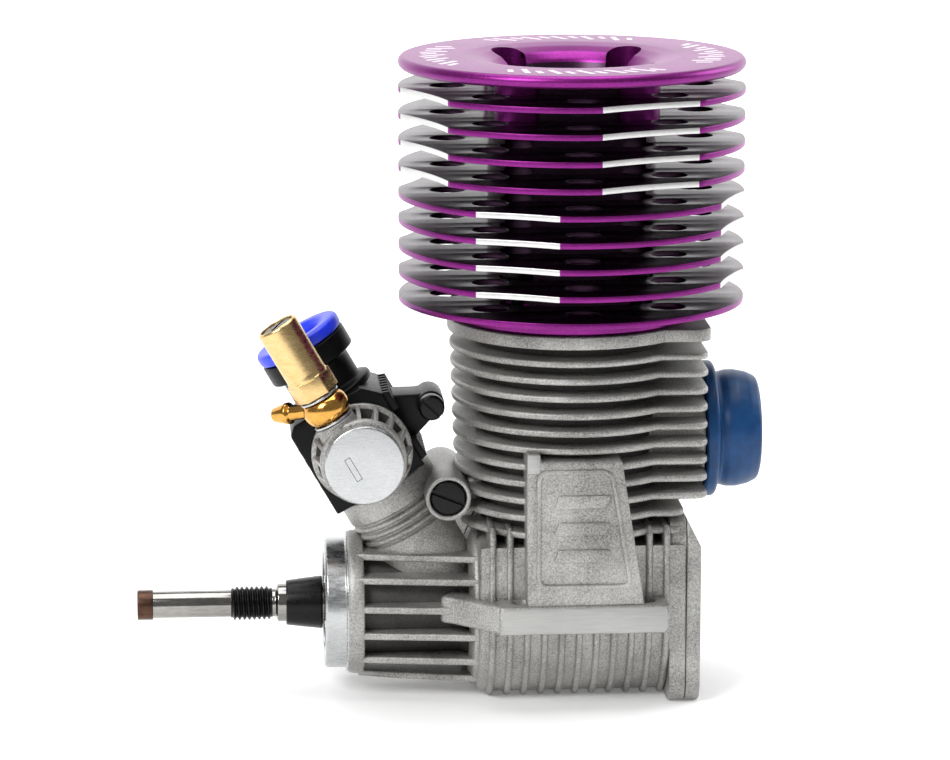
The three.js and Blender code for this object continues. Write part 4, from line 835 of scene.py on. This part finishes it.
@dataclass
class Crankcase:
    """Shot-blasted casting: nose, ribbed lower case, lugs, side panels, barrel and bosses."""

    front: float = -17.9
    rear: float = 19.8
    skin: float = 17.2
    skin_floor: float = -15.6
    rib: float = 18.0
    rib_floor: float = -16.3
    rib_first: float = -15.5
    rib_pitch: float = 3.155
    ribs: int = 11
    fin_first: float = 16.5
    fin_pitch: float = 3.2
    fins: int = 11
    deck: float = 53.6
    duct: float = 8.2
    duct_height: float = 31.8
    recess: float = 9.5
    sinks: tuple[float, float, float] = (12.07, 10.12, 2.45)

    @staticmethod
    def underside(radius: float, floor: float, top: float) -> np.ndarray:
        """Half-round section with a flat foot, in the YZ plane."""
        foot = math.degrees(math.asin(-floor / radius))
        return np.concatenate(
            [
                [[radius, top], [-radius, top]], arc((0, 0), radius, 180.0, 180.0 + foot, 14),
                arc((0, 0), radius, 360.0 - foot, 360.0, 14),
            ]
        )

    def fin_plan(
        self, radius: float, rear: float, height: float, half: float = 16.5, corner: float = 2.5
    ) -> np.ndarray:
        """Round in front, square at the exhaust face, and open where the duct passes."""
        start = math.degrees(math.atan2(half, math.sqrt(radius**2 - half**2)))
        gap = math.sqrt(max(self.duct**2 - (height - self.duct_height) ** 2, 0.0))
        notch = np.array(
            [[rear, -gap], [11.0, -gap], [11.0, gap], [rear, gap]]
        ) if gap > 0.5 else np.empty((0, 2))
        return np.concatenate(
            [
                arc((0, 0), radius, start, 360.0 - start, 72),
                arc((rear - corner, corner - half), corner, -90.0, 0.0, 6), notch,
                arc((rear - corner, half - corner), corner, 0.0, 90.0, 6),
            ]
        )

    def rear_outline(self) -> np.ndarray:
        """Rounded square of the rear flange, in the YZ plane."""
        w, low, high, c = 16.3, self.rib_floor, 18.7, 4.0
        return np.concatenate(
            [
                arc((w - c, low + c), c, -90.0, 0.0, 8), arc((w - c, high - c), c, 0.0, 90.0, 8),
                arc((c - w, high - c), c, 90.0, 180.0, 8),
                arc((c - w, low + c), c, 180.0, 270.0, 8),
            ]
        )

    def lower(self, form: Form) -> None:
        """Case skin, its vertical ribs and the rear flange."""
        form.pressed(
            self.underside(self.skin, self.skin_floor, 14.0), self.front, self.rear, Axis.X, 1.2
        )
        outer = np.roll(self.underside(self.rib, self.rib_floor, 1.0), -1, axis=0)
        inner = np.roll(self.underside(self.skin - 1.4, self.skin_floor + 1.2, 1.0), -1, axis=0)
        rib = np.concatenate([outer, inner[::-1]])
        tall = np.array(
            [[-17.9, -1.0], [17.9, -1.0], [17.9, 16.0], [16.4, 17.5], [-16.4, 17.5], [-17.9, 16.0]]
        )
        for i in range(self.ribs):
            x = self.rib_first + i * self.rib_pitch
            form.pressed(rib, x - 0.6, x + 0.6, Axis.X, 0.5)
            if i in (0, 1, self.ribs - 2, self.ribs - 1):
                form.pressed(tall, x - 0.6, x + 0.6, Axis.X, 0.5)
        form.pressed(self.rear_outline(), self.rear - 3.0, self.rear, Axis.X, 0.25)

    def nose(self, form: Form) -> None:
        """Core, flange and level ribs trimmed to the taper; the machined ring in front."""
        # Painted shade: the nose core between the level ribs is in the near-black grey.
        form.turned(
            [
                (7.15, -39.0), (10.7, -39.0), (10.7, -20.4), (12.5, -19.0), (15.8, -18.4),
                (15.8, -16.0), (7.15, -16.0),
            ],
            Axis.X, edge=0.7, steps=96, finish=3,
        )
        form.turned(
            [(7.15, -41.6), (12.6, -41.6), (13.2, -40.8), (13.3, -38.4), (7.15, -38.4)], Axis.X,
            edge=0.6, steps=96,
        )
        form.turned(
            [(13.0, -19.6), (15.8, -18.5), (15.8, -16.0), (13.0, -16.0)], Axis.X, edge=0.5, steps=96
        )
        form.turned(
            [
                (9.55, -45.5), (11.7, -45.5), (12.1, -45.1), (12.1, -41.7), (12.8, -41.5),
                (12.8, -41.0), (7.15, -41.0), (7.15, -39.2), (9.55, -39.2),
            ],
            Axis.X, edge=0.12, steps=96, finish=1,
        )
        for z in (10.4, 6.7, 1.7, -3.3, -8.4, -12.6):
            x = np.linspace(-39.4, -16.9, 12)
            r = 13.25 + (x + 38.4) * (15.8 - 13.25) / 20.5
            y = np.sqrt(np.maximum(r**2 - z**2, 1.0))
            plan = np.concatenate([np.stack([x, -y], 1), np.stack([x[::-1], y[::-1]], 1)])
            form.pressed(plan, z - 0.65, z + 0.65, Axis.Z, 0.4)

    def barrel(self, form: Form) -> None:
        """Top band and cooling fins, and the stub round the exhaust duct."""
        form.pressed(self.fin_plan(22.6, 24.0, self.deck), 51.2, self.deck, Axis.Z, 0.3)
        for i in range(self.fins):
            z = self.fin_first + i * self.fin_pitch
            rear = 19.4 if i < 2 else 23.6
            form.pressed(self.fin_plan(21.0 + 0.12 * i, rear, z), z - 0.62, z + 0.62, Axis.Z, 0.45)
        stub = plain_tube(self.duct, 11.5, 12.0, 23.8)
        form.turned(stub, Axis.X, (0.0, 0.0, self.duct_height), 0.5, 72)

    def core(self) -> None:
        """Cylinder inside the fins, bored through for the exhaust duct, in painted shade."""
        tube = Form(ENGINE).turned(plain_tube(10.95, 17.5, 14.0, 52.0), edge=0.4, steps=96)
        bore = Form(ENGINE).turned(
            plain_tube(0.0, self.duct, 2.0, 26.0), Axis.X, (0.0, 0.0, self.duct_height), 0.0, 72
        )
        dress(
            carve(tube.mesh("barrel_core"), bore.mesh("duct")), [SHADED], "engine", "cast_aluminium"
        )

    def lugs(self, form: Form) -> None:
        """Mounting lugs with two holes each, machined outer faces and cast gussets."""
        plan = np.array([[-14.7, 15.2], [16.1, 15.2], [16.1, 23.0], [-14.7, 23.0]])
        for side in (-1.0, 1.0):
            outline = soften(plan * [1.0, side], 0.8)
            holes = [circle((x, side * 19.0), 1.7, 24) for x in (-10.4, 12.0)]
            form.pierced(outline, holes, -0.85, 4.4, edge=0.5)
            face = np.array([[-14.2, -0.6], [15.6, -0.6], [15.6, 4.1], [-14.2, 4.1]])
            form.pressed(soften(face, 0.9), *between(side, 22.0, 23.06), Axis.Y, 0.08, 2)
            gusset = np.array(
                [
                    [-25.0, 13.6], [-22.6, 15.0], [-14.0, 22.9], [-12.0, 22.9], [-12.0, 12.0],
                    [-22.0, 9.0],
                ]
            )
            form.pressed(soften(gusset * [1.0, side], 1.0), -0.7, 4.25, Axis.Z, 0.6)

    def panels(self, form: Form) -> None:
        """Blank raised panels with a border and three plain bars."""
        outline = np.array(
            [[-9.7, 3.9], [11.6, 3.9], [7.3, 31.0], [-7.3, 31.0], [-7.3, 32.5], [-9.9, 32.5]]
        )
        outer = np.array([[-8.0, 7.6], [9.4, 7.6], [5.7, 29.5], [-8.0, 29.5]])
        bar = np.array([[-5.0, 0.0], [4.4, 0.0], [5.4, 2.4], [-4.0, 2.4]])
        for side in (-1.0, 1.0):
            form.pressed(soften(outline, 0.7), *between(side, 15.0, 22.4), Axis.Y, 0.6)
            ring = soften(outer, 2.2, 5)
            form.pierced(ring, [inset(ring, 0.75)], *between(side, 22.2, 22.85), Axis.Y, 0.2)
            form.pressed(
                soften(strip((-8.6, 30.6), 2.2, 3.4, 0.0), 0.3), *between(side, 22.2, 22.5), Axis.Y,
                0.05, 2,
            )
            for z in (12.4, 17.4, 22.4):
                form.pressed(soften(bar + [0.0, z], 0.5), *between(side, 22.0, 22.85), Axis.Y, 0.25)

    def bosses(self, form: Form) -> None:
        """Grooved carburettor boss and the cross-bolt boss through it."""
        profile = [(7.2, 10.0), (9.25, 10.0)]
        for groove in (27.4, 28.9, 30.4, 31.9):
            profile += [
                (9.25, groove), (8.6, groove + 0.3), (8.6, groove + 0.6), (9.25, groove + 0.9)
            ]
        profile += [(9.25, 37.0), (8.9, 37.4), (7.3, 37.4)]
        tilted = Form(CARB).turned(profile, edge=0.25, steps=96)
        tilted.turned(
            [(1.6, -9.7), (3.35, -9.7), (3.35, -12.3), (4.15, -12.3), (4.15, 12.3), (1.6, 12.3)],
            Axis.Y, (9.3, 0.0, 30.75), 0.35, 56,
        )
        form.join(tilted)
        web = np.array([[-23.0, 8.0], [-14.0, 8.0], [-14.0, 27.0], [-18.5, 25.0], [-22.0, 20.0]])
        form.pressed(soften(web, 1.5), -5.0, 5.0, Axis.Y, 1.2)

    def build(self) -> None:
        """Gathers every region of the casting into one piece."""
        form = Form(ENGINE)
        self.lower(form)
        self.nose(form)
        self.barrel(form)
        self.lugs(form)
        self.panels(form)
        self.bosses(form)
        casting = form.mesh("crankcase_casting")
        dress(casting, [CAST, SATIN, MILLED, SHADED], "engine", "cast_aluminium", "crankcase")

        self.core()
        y, z, radius = self.sinks
        holes = [circle((a * y, b * z), radius, 40) for a in (-1, 1) for b in (-1, 1)]
        holes.append(circle((0.0, 0.0), self.recess, 96))
        plate = Form(ENGINE).pierced(
            self.rear_outline(), holes, self.rear + 0.05, 22.5, Axis.X, 0.35
        )
        slope = Form(ENGINE).pressed(
            np.array([[19.6, 19.0], [22.9, 12.4], [26.0, 12.4], [26.0, 25.0], [19.6, 25.0]]), -25.0,
            25.0, Axis.Y, 0.0,
        )
        cut = carve(plate.mesh("backplate_cover"), slope.mesh("slope"))
        dress(cut, [CAST], "engine", "cast_aluminium", "backplate")
        floor = Form(ENGINE).turned(plain_tube(0, self.recess + 0.3, 19.85, 19.95), Axis.X)
        dress(floor.mesh("backplate_recess"), [CAST], "engine", "cast_aluminium")


# ------------------------------------------------------------------------ crankshaft


@dataclass
class Shaft:
    """Crankshaft nose with its rolled thread, and the split cone that grips it."""

    thread_start: float = -62.6
    thread_end: float = -55.0
    crest: float = 3.1
    root: float = 2.62
    pitch: float = 0.907
    throw: float = 8.8

    def thread(self, form: Form) -> None:
        """Thread: r(x, a) swings between root and crest with the phase x / pitch - a / turn."""
        around, rows = 48, 140
        x = np.linspace(self.thread_start, self.thread_end, rows)
        a = np.linspace(0.0, TAU, around, endpoint=False)
        phase = (x[:, None] / self.pitch - a[None] / TAU) % 1.0
        wave = np.abs(2.0 * phase - 1.0)
        fade = np.clip(
            np.minimum(x - self.thread_start, self.thread_end - x) / 0.6, 0.0, 1.0
        )[:, None]
        r = self.root + (self.crest - self.root) * np.clip(1.6 * wave - 0.2, 0.0, 1.0) * fade
        grid = np.stack([np.broadcast_to(x[:, None], r.shape), r * np.cos(a), r * np.sin(a)], -1)
        i, j = np.meshgrid(np.arange(rows - 1), np.arange(around), indexing="ij")
        n = (j + 1) % around
        quads = np.stack(
            [i * around + j, i * around + n, (i + 1) * around + n, (i + 1) * around + j], -1
        )
        caps = [list(range(around))[::-1], list(range((rows - 1) * around, rows * around))]
        form.take(grid.reshape(-1, 3), quads.reshape(-1, 4).tolist() + caps, 1)

    def build(self) -> None:
        """Shaft in lengths by finish, its pin, the bored web, and the collet."""
        form = Form(ENGINE)
        form.turned(plain_tube(0, 2.75, -79.8, -76.9), Axis.X, edge=0.25, steps=48, finish=2)
        form.turned(plain_tube(0, 2.5, -77.0, -62.5), Axis.X, edge=0.1, steps=48)
        self.thread(form)
        form.turned(
            [(0, -55.1), (2.6, -55.1), (2.6, -54.4), (3.5, -54.0), (3.5, -34.5), (0, -34.5)],
            Axis.X, edge=0.15, steps=56,
        )
        form.turned(plain_tube(0, 2.9, -4.2, -2.4), Axis.X, (0.0, 0.0, self.throw), 0.1, 40)
        dress(form.mesh("crankshaft_nose"), [STEEL, BLACK_STEEL, BROWN], "crank", "ground_steel")
        web = Form(ENGINE).turned(
            [
                (0, -34.6), (3.5, -34.6), (7.0, -32.5), (7.0, -11.0), (8.0, -11.0), (13.3, -10.2),
                (13.3, -3.7), (12.8, -3.2), (0, -3.2),
            ],
            Axis.X, edge=0.2, steps=96,
        )
        hollow = Form(ENGINE).turned(plain_tube(0, 4.6, -30.0, 0.0), Axis.X, edge=0.0, steps=48)
        window = Form(ENGINE).pressed(strip((-25.5, 4.5), 8.0, 7.0, 0.0), -4.2, 4.2, Axis.Y, 0.0)
        bored = carve(
            carve(web.mesh("crankshaft_web"), hollow.mesh("gas_bore")), window.mesh("window")
        )
        dress(bored, [STEEL], "crank", "ground_steel", "crankshaft")

        cone = Form(ENGINE).turned(
            [(3.55, -52.5), (4.0, -52.5), (4.15, -52.3), (4.9, -46.0), (4.7, -45.8), (3.55, -45.8)],
            Axis.X, edge=0.15, steps=64,
        )
        dress(
            cone.mesh("split_cone"), [BLACK_STEEL], "crank", "black_oxide_steel", "flywheel_collet"
        )


# ----------------------------------------------------------------------- carburettor


@dataclass
class Carburettor:
    """Black composite slide carburettor with its cast fuel inlet and brass needle valve."""

    throat: float = 4.0
    slide: float = 5.55
    nipple_turn: float = -35.0
    nipple_rise: float = 12.0
    needle: tuple[float, float] = (-1.0, -14.1)
    idle: tuple[float, float] = (14.9, 46.0)

    def body(self) -> None:
        """Moulded box, intake neck with its lip, and the arm of the idle stop screw."""
        box = np.array(
            [[-9.7, 37.7], [8.6, 37.7], [8.6, 53.0], [5.6, 56.0], [-8.2, 56.0], [-9.7, 54.5]]
        )
        block = Form(CARB).pressed(
            soften(box, 0.4), -9.0, 9.0, Axis.Y, 0.35
        ).mesh("carburettor_box")
        throat = Form(CARB).turned(plain_tube(0, self.throat, 30.0, 60.0), edge=0.0, steps=64)
        barrel = Form(CARB).turned(
            plain_tube(0, self.slide, -12.0, 12.0), Axis.Y, (0, 0, SLIDE_HEIGHT), 0.0, 64
        )
        block = carve(carve(block, throat.mesh("throat")), barrel.mesh("barrel"))
        dress(block, [COMPOSITE], "engine", "black_composite", "carburettor_body")

        form = Form(CARB).turned(plain_tube(self.throat, 6.9, 24.0, 39.0), edge=0.3, steps=72)
        form.turned(
            [
                (self.throat, 54.0), (6.9, 54.0), (6.9, 55.0), (8.2, 55.5), (8.2, 56.6),
                (6.5, 57.2), (6.5, 62.0), (8.25, 62.6), (8.25, 66.4), (5.6, 66.4), (5.6, 60.2),
                (self.throat, 60.2),
            ],
            edge=0.35, steps=72,
        )
        x, z = self.idle
        arm = np.array(
            [
                [7.6, z + 6], [x - 1.2, z + 2.6], [x + 1.5, z + 2.0], [x + 2.5, z],
                [x + 1.5, z - 2.0], [x - 1.2, z - 2.6], [7.6, z - 4.5],
            ]
        )
        form.pressed(soften(arm, 0.9), -4.4, 3.5, Axis.Y, 0.4)
        form.turned(plain_tube(1.25, 2.5, -5.45, 3.6), Axis.Y, (x, 0.0, z), 0.3, 48)
        for low, high in ((38.4, 43.0), (48.6, 53.2)):
            fin = np.array([[8.2, low], [9.8, low + 0.5], [9.8, high - 0.6], [8.2, high]])
            for y in np.arange(-7.7, 8.0, 2.2):
                form.pressed(fin, y - 0.45, y + 0.45, Axis.Y, 0.2)
        for level in (41.0, 43.6, 46.2, 48.8):
            form.pressed(strip((-9.75, level + 1.9), 1.2, 0.5, 90.0), -6.0, 6.0, Axis.Y, 0.15)
        dress(form.mesh("carburettor_neck"), [COMPOSITE], "engine", "black_composite")

        plug = Form(CARB).turned(
            [
                (0, 61.4), (5.1, 61.4), (5.3, 62), (5.3, 66.55), (8.0, 66.55), (8.3, 67.0),
                (8.3, 68.5), (7.8, 69.0), (5.8, 69.0), (4.6, 68.0), (4.2, 62.8), (0, 62.8),
            ],
            edge=0.4, steps=72,
        )
        dress(
            plug.mesh("intake_plug"), [ROYAL], "intake_plug", "royal_blue_plastic",
            "intake_dust_plug",
        )

    def collar(self, form: Form, back: float, front: float) -> None:
        """A cast collar round the slide: inner drum, two rims and radial ribs, with painted shade
        on the drum and the floor between the ribs.
        """
        at = (0.0, 0.0, SLIDE_HEIGHT)
        inner = self.slide + 0.05
        out = math.copysign(1.0, front - back)
        form.turned(
            [
                (inner, back), (9.2, back), (9.2, back + out * 0.9), (8.4, back + out * 1.2),
                (inner, back + out * 1.2),
            ],
            Axis.Y, at, 0.25, 72,
        )
        # Painted shade on the inner drum and on the floor ring between the ribs.
        form.turned(plain_tube(inner, 6.1, back, front), Axis.Y, at, 0.2, 72, finish=1)
        floor = back + out * 1.15
        form.turned(plain_tube(5.9, 8.35, floor, floor + out * 0.2), Axis.Y, at, 0.0, 72, finish=1)
        form.turned(
            [
                (inner, front - out * 1.2), (7.9, front - out * 1.4), (7.75, front - out * 0.2),
                (7.2, front), (inner, front),
            ],
            Axis.Y, at, 0.25, 72,
        )
        vane = np.array(
            [
                [back + out * 0.6, 5.4], [back + out * 0.6, 9.1], [back + out * 1.3, 8.95],
                [front - out * 1.0, 7.75], [front - out * 1.0, 5.4],
            ]
        )
        for i in range(16):
            form.pressed(vane, -0.42, 0.42, Axis.X, 0.16, at=at, spin=about("y", 47.0 + 22.5 * i))

    def inlet(self) -> None:
        """Cast inlet housing with its machined cap."""
        form = Form(CARB)
        self.collar(form, -9.3, -17.9)
        x, y = self.needle
        form.turned(
            [(0, 51.4), (3.95, 51.4), (3.75, 54.2), (0, 54.2)], at=(x, y, 0), edge=0.3, steps=48
        )
        dress(
            form.mesh("inlet_casting"), [CAST, SHADED], "engine", "cast_aluminium",
            "fuel_inlet_housing",
        )
        cap = Form(CARB).turned(
            [(0, -18.0), (7.05, -18.0), (7.05, -20.2), (6.85, -20.35), (0, -20.35)], Axis.Y,
            (0, 0, SLIDE_HEIGHT), 0.08, 96,
        )
        mark = strip((-2.05, 46.05), 4.6, 1.15, 90.0)
        cap.pierced(mark, [inset(mark, 0.1)], -20.37, -20.3, Axis.Y, 0.01, 1)
        dress(
            cap.mesh("inlet_cap"), [SATIN, BLACK_STEEL], "engine", "machined_aluminium",
            "fuel_inlet_cap",
        )
        far = Form(CARB)
        self.collar(far, 9.3, 15.0)
        dress(
            far.mesh("slide_collar"), [CAST, SHADED], "engine", "cast_aluminium", "throttle_collar"
        )

    def needle_valve(self) -> None:
        """Banjo with its barbed nipple, washers, hexagonal holder and slotted needle."""
        x, y = self.needle
        ball = Form(CARB).turned(
            [
                (2.4, 54.9), (3.3, 54.9), (3.9, 55.4), (4.25, 56.2), (4.35, 57.0), (4.25, 57.8),
                (3.9, 58.6), (3.4, 59.1), (2.4, 59.1),
            ],
            at=(x, y, 0), edge=0.5, steps=64,
        )
        ball.turned(
            [
                (0.8, 2.6), (1.35, 2.6), (1.35, 7.6), (2.0, 8.1), (2.0, 8.6), (1.35, 11.3),
                (1.1, 11.6), (0.8, 11.6),
            ],
            at=(x, y, 56.9), edge=0.15, steps=40,
            spin=about("z", self.nipple_turn) @ about("y", self.nipple_rise - 90.0),
        )
        dress(ball.mesh("banjo_and_nipple"), [GOLD], "engine", "gold_brass", "fuel_banjo")
        for name, low in (("lower", 54.35), ("upper", 59.3)):
            washer = Form(CARB).turned(
                plain_tube(2.4, 3.75, low, low + 0.4), at=(x, y, 0), edge=0.1, steps=56
            )
            dress(
                washer.mesh(f"washer_{name}"), [SATIN], "engine", "machined_aluminium",
                f"banjo_washer_{name}",
            )
        holder = Form(CARB)
        corner = 7.3 / math.sqrt(3.0)
        hexagon = circle((x, y), corner, 6)
        holder.pressed(soften(hexagon, 0.15, 2), 59.9, 63.7, Axis.Z, 0.25)
        holder.turned(plain_tube(1.4, 2.2, 52.5, 60.2), at=(x, y, 0), edge=0.1, steps=40)
        holder.turned(
            [
                (1.4, 63.2), (3.85, 63.2), (3.85, 63.9), (3.75, 64.4), (3.8, 74.2), (3.5, 74.6),
                (3.2, 74.6), (3.2, 70.4), (1.4, 70.4),
            ],
            at=(x, y, 0), edge=0.2, steps=64,
        )
        dress(holder.mesh("needle_holder"), [BRASS], "engine", "brass", "needle_valve_holder")
        screw = Form(CARB).turned(
            [
                (0, 56.0), (1.15, 56.5), (1.15, 71.0), (3.0, 71.0), (3.0, 74.1), (2.7, 74.35),
                (0, 74.35),
            ],
            at=(x, y, 0), edge=0.15, steps=56,
        )
        slot = Form(CARB).pressed(strip((x, y), 8.0, 0.8, 58.0), 73.2, 76.0, Axis.Z, 0.0)
        cut = carve(screw.mesh("needle_screw"), slot.mesh("slot"))
        dress(cut, [BLACK_STEEL], "high_needle", "black_oxide_steel", "high_speed_needle")

    def screws(self) -> None:
        """Slotted idle stop screw and carburettor clamp bolt."""
        x, z = self.idle
        idle = Form(CARB).turned(
            [
                (0, -8.7), (2.0, -8.7), (2.35, -8.35), (2.35, -6.3), (1.6, -6.1), (1.6, -5.5),
                (1.2, -5.5), (1.2, 7.6), (0, 7.9),
            ],
            Axis.Y, (x, 0, z), 0.12, 56,
        )
        slot = Form(CARB).pressed(strip((x, z), 6.0, 0.7, 107.0), -9.5, -7.8, Axis.Y, 0.0)
        dress(
            carve(idle.mesh("idle_screw_head"), slot.mesh("slot")), [BLACK_STEEL], "idle_screw",
            "black_oxide_steel", "idle_stop_screw",
        )
        bolt = Form(CARB).turned(
            [
                (0, -12.05), (2.9, -12.05), (3.2, -11.75), (3.2, -9.85), (1.45, -9.85),
                (1.45, 12.0), (0, 12.0),
            ],
            Axis.Y, (9.3, 0, 30.75), 0.15, 56,
        )
        groove = Form(CARB).pressed(
            strip((9.3, 30.75), 11.0, 0.8, -52.0), -13.0, -11.2, Axis.Y, 0.0
        )
        dress(
            carve(bolt.mesh("clamp_bolt"), groove.mesh("slot")), [BLACK_STEEL], "engine",
            "black_oxide_steel", "carburettor_clamp_bolt",
        )

    def boot(self) -> None:
        """Rubber bellows whose folds narrow outwards."""
        at = (0.0, 0.0, SLIDE_HEIGHT)
        y = np.linspace(15.15, 25.3, 41)
        t = (y - y[0]) / (y[-1] - y[0])
        r = 5.75 - 0.8 * t + 0.85 * np.cos(t * 8 * math.pi)
        outline = np.concatenate([np.stack([r, y], 1), np.stack([r[::-1] - 0.9, y[::-1]], 1)])
        boot = Form(CARB).turned([tuple(p) for p in outline], Axis.Y, at, 0.05, 64)
        piece = dress(boot.mesh("slide_boot"), [RUBBER], "engine", "black_rubber", "throttle_boot")
        anchor = CARB.row(np.array([[0.0, 15.15, SLIDE_HEIGHT]]))[0]
        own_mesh(piece)

    def build(self) -> None:
        """Builds every part of the carburettor."""
        self.body()
        self.inlet()
        self.needle_valve()
        self.screws()
        self.boot()


# -------------------------------------------------------------------------- the rest


@dataclass
class SmallParts:
    """Exhaust cap, and the finishes of the CAD nodes that stay in view."""

    def cap(self) -> None:
        """Soft plastic cap with a flange, a neck and a bulged end."""
        profile = [
            (0, 31.8), (6.4, 31.8), (6.6, 31.2), (6.6, 18.0), (7.9, 18.0), (7.9, 23.95),
            (12.2, 23.95), (12.5, 24.3), (12.5, 25.8), (12.1, 26.3), (10.5, 26.7), (10.35, 27.2),
            (10.75, 28.4), (10.8, 30.2), (10.35, 32.4), (9.6, 34.0), (9.0, 34.4), (0, 34.4),
        ]
        cap = Form(ENGINE).turned(profile, Axis.X, (0, 0, 31.8), 0.35, 96)
        dress(
            cap.mesh("outlet_cap"), [NAVY], "exhaust_cap", "steel_blue_plastic", "exhaust_dust_cap"
        )

    def finishes(self) -> None:
        """Repaints the CAD nodes that are seen as they are."""
        table = {
            STEEL: [
                "wrist_pin", "rear_bearing_inner_race", "rear_bearing_outer_race",
                "rear_bearing_ball_cage", "front_bearing_inner_race", "front_bearing_outer_race",
                "front_bearing_ball_cage", "throttle_slide", "glow_plug_body", "glow_plug_terminal",
            ],
            BLACK_STEEL: [
                *[f"backplate_screw_{i}" for i in range(1, 5)],
                *[f"head_screw_{i}" for i in range(1, 5)], "carburettor_clamp_nut", "throttle_ball",
                "wrist_pin_clip_front", "wrist_pin_clip_rear",
            ],
            SATIN: ["piston", "connecting_rod", "combustion_button"],
            BRASS: ["cylinder_liner", "spray_bar", "low_speed_needle", "rod_big_end_bush"],
            COPPER: ["head_shim", "glow_plug_washer"],
            RUBBER: ["backplate_o_ring", "carburettor_o_ring"],
        }
        for finish, names in table.items():
            for name in names:
                repaint(name, finish)

    def build(self) -> None:
        """Builds the cap and dresses the rest."""
        self.cap()
        self.finishes()


# ----------------------------------------------------------------------------- stage


@dataclass
class Studio:
    """White table and backdrop, soft lights and the camera."""

    lens: float = 145.976
    eye: tuple[float, float, float] = (-66.99, -688.14, 186.75)
    turn: float = -4.114
    tip: float = -11.895
    ambient: float = 0.24
    # Painted glow of the sheet near the engine.
    glow: float = 0.12

    def build(self) -> None:
        """Floor, world, lights and camera."""
        scene = bpy.context.scene
        world = bpy.data.worlds.new("studio")
        scene.world = world
        world.use_nodes = True
        world.node_tree.nodes["Background"].inputs["Color"].default_value = (1, 1, 1, 1)
        world.node_tree.nodes["Background"].inputs["Strength"].default_value = self.ambient
        self.floor()
        self.light("top", (0.0, 0.05, 0.8), 0.7, 5.0)
        self.light("key", (-0.45, -0.5, 0.55), 0.35, 4.4)
        self.light("rim", (0.75, 0.2, 0.4), 0.45, 2.5)
        data = bpy.data.cameras.new("camera")
        data.lens, data.sensor_width, data.sensor_fit = self.lens, 36.0, "HORIZONTAL"
        data.clip_start, data.clip_end = 0.01, 20.0
        camera = bpy.data.objects.new("camera", data)
        camera.location = ENGINE.row(np.array([self.eye]))[0]
        camera.rotation_euler = (math.radians(90.0 + self.tip), 0.0, math.radians(self.turn))
        scene.collection.objects.link(camera)
        scene.camera = camera
        scene.view_settings.view_transform = "Standard"

    def floor(self) -> None:
        """A wide white sheet: a flat grid that sweeps up behind as a quarter circle, with a painted
        glow that is faint near the engine and bright behind it.
        """
        depth = np.concatenate(
            [np.linspace(-1.5, 1.0, 6), 1.0 + 0.6 * np.sin(np.radians(np.arange(10, 91, 10)))]
        )
        rise = np.concatenate([np.zeros(6), 0.6 * (1 - np.cos(np.radians(np.arange(10, 91, 10))))])
        rise[-1] = 1.6
        wide = np.linspace(-3.0, 3.0, 5)
        points = np.array([[x, y, z] for y, z in zip(depth, rise) for x in wide])
        n = len(wide)
        i, j = np.meshgrid(np.arange(len(depth) - 1), np.arange(n - 1), indexing="ij")
        quads = np.stack([i * n + j, i * n + j + 1, (i + 1) * n + j + 1, (i + 1) * n + j], -1)
        data = bpy.data.meshes.new("white_table")
        data.from_pydata(points.tolist(), [], quads.reshape(-1, 4).tolist())
        data.polygons.foreach_set("use_smooth", np.ones(len(data.polygons), bool))
        floor = bpy.data.objects.new("white_table", data)
        bpy.context.scene.collection.objects.link(floor)
        sheet = bpy.data.materials.new("white_paper_painted_glow")
        sheet.use_nodes = True
        shader = sheet.node_tree.nodes["Principled BSDF"]
        shader.inputs["Base Color"].default_value = linear("#fbfbfb")
        shader.inputs["Roughness"].default_value = 0.9
        shader.inputs["Emission Color"].default_value = (1.0, 1.0, 1.0, 1.0)
        tree = sheet.node_tree
        place = node(tree, "ShaderNodeTexCoord").outputs["Object"]
        along = node(tree, "ShaderNodeSeparateXYZ", None, {"Vector": place}).outputs["Y"]
        # Painted glow: the sheet's emission rises from the glow value near the engine to 0.9 behind
        # it.
        limits = {"From Min": 0.15, "From Max": 0.9, "To Min": self.glow, "To Max": 0.9}
        painted_glow = node(tree, "ShaderNodeMapRange", limits, {"Value": along}).outputs["Result"]
        tree.links.new(painted_glow, shader.inputs["Emission Strength"])
        data.materials.append(sheet)

    def light(self, name: str, at: tuple[float, float, float], size: float, power: float) -> None:
        """A square soft light aimed at the middle of the engine."""
        data = bpy.data.lights.new(name, "AREA")
        data.size, data.energy = size, power
        lamp = bpy.data.objects.new(name, data)
        lamp.location = at
        aim = np.array([0.0, 0.0, 0.06]) - np.array(at)
        flat = math.hypot(aim[0], aim[1])
        lamp.rotation_euler = (
            math.atan2(flat, -aim[2]), 0.0, math.atan2(aim[1], aim[0]) - math.pi / 2
        )
        bpy.context.scene.collection.objects.link(lamp)


def main() -> None:
    """Builds every sub-assembly in order, then the stage."""
    logging.basicConfig(level=logging.INFO, format="%(message)s")
    for part in (CoolingHead(), Crankcase(), Shaft(), Carburettor(), SmallParts(), Studio()):
        part.build()


if __name__ == "__main__":
    main()
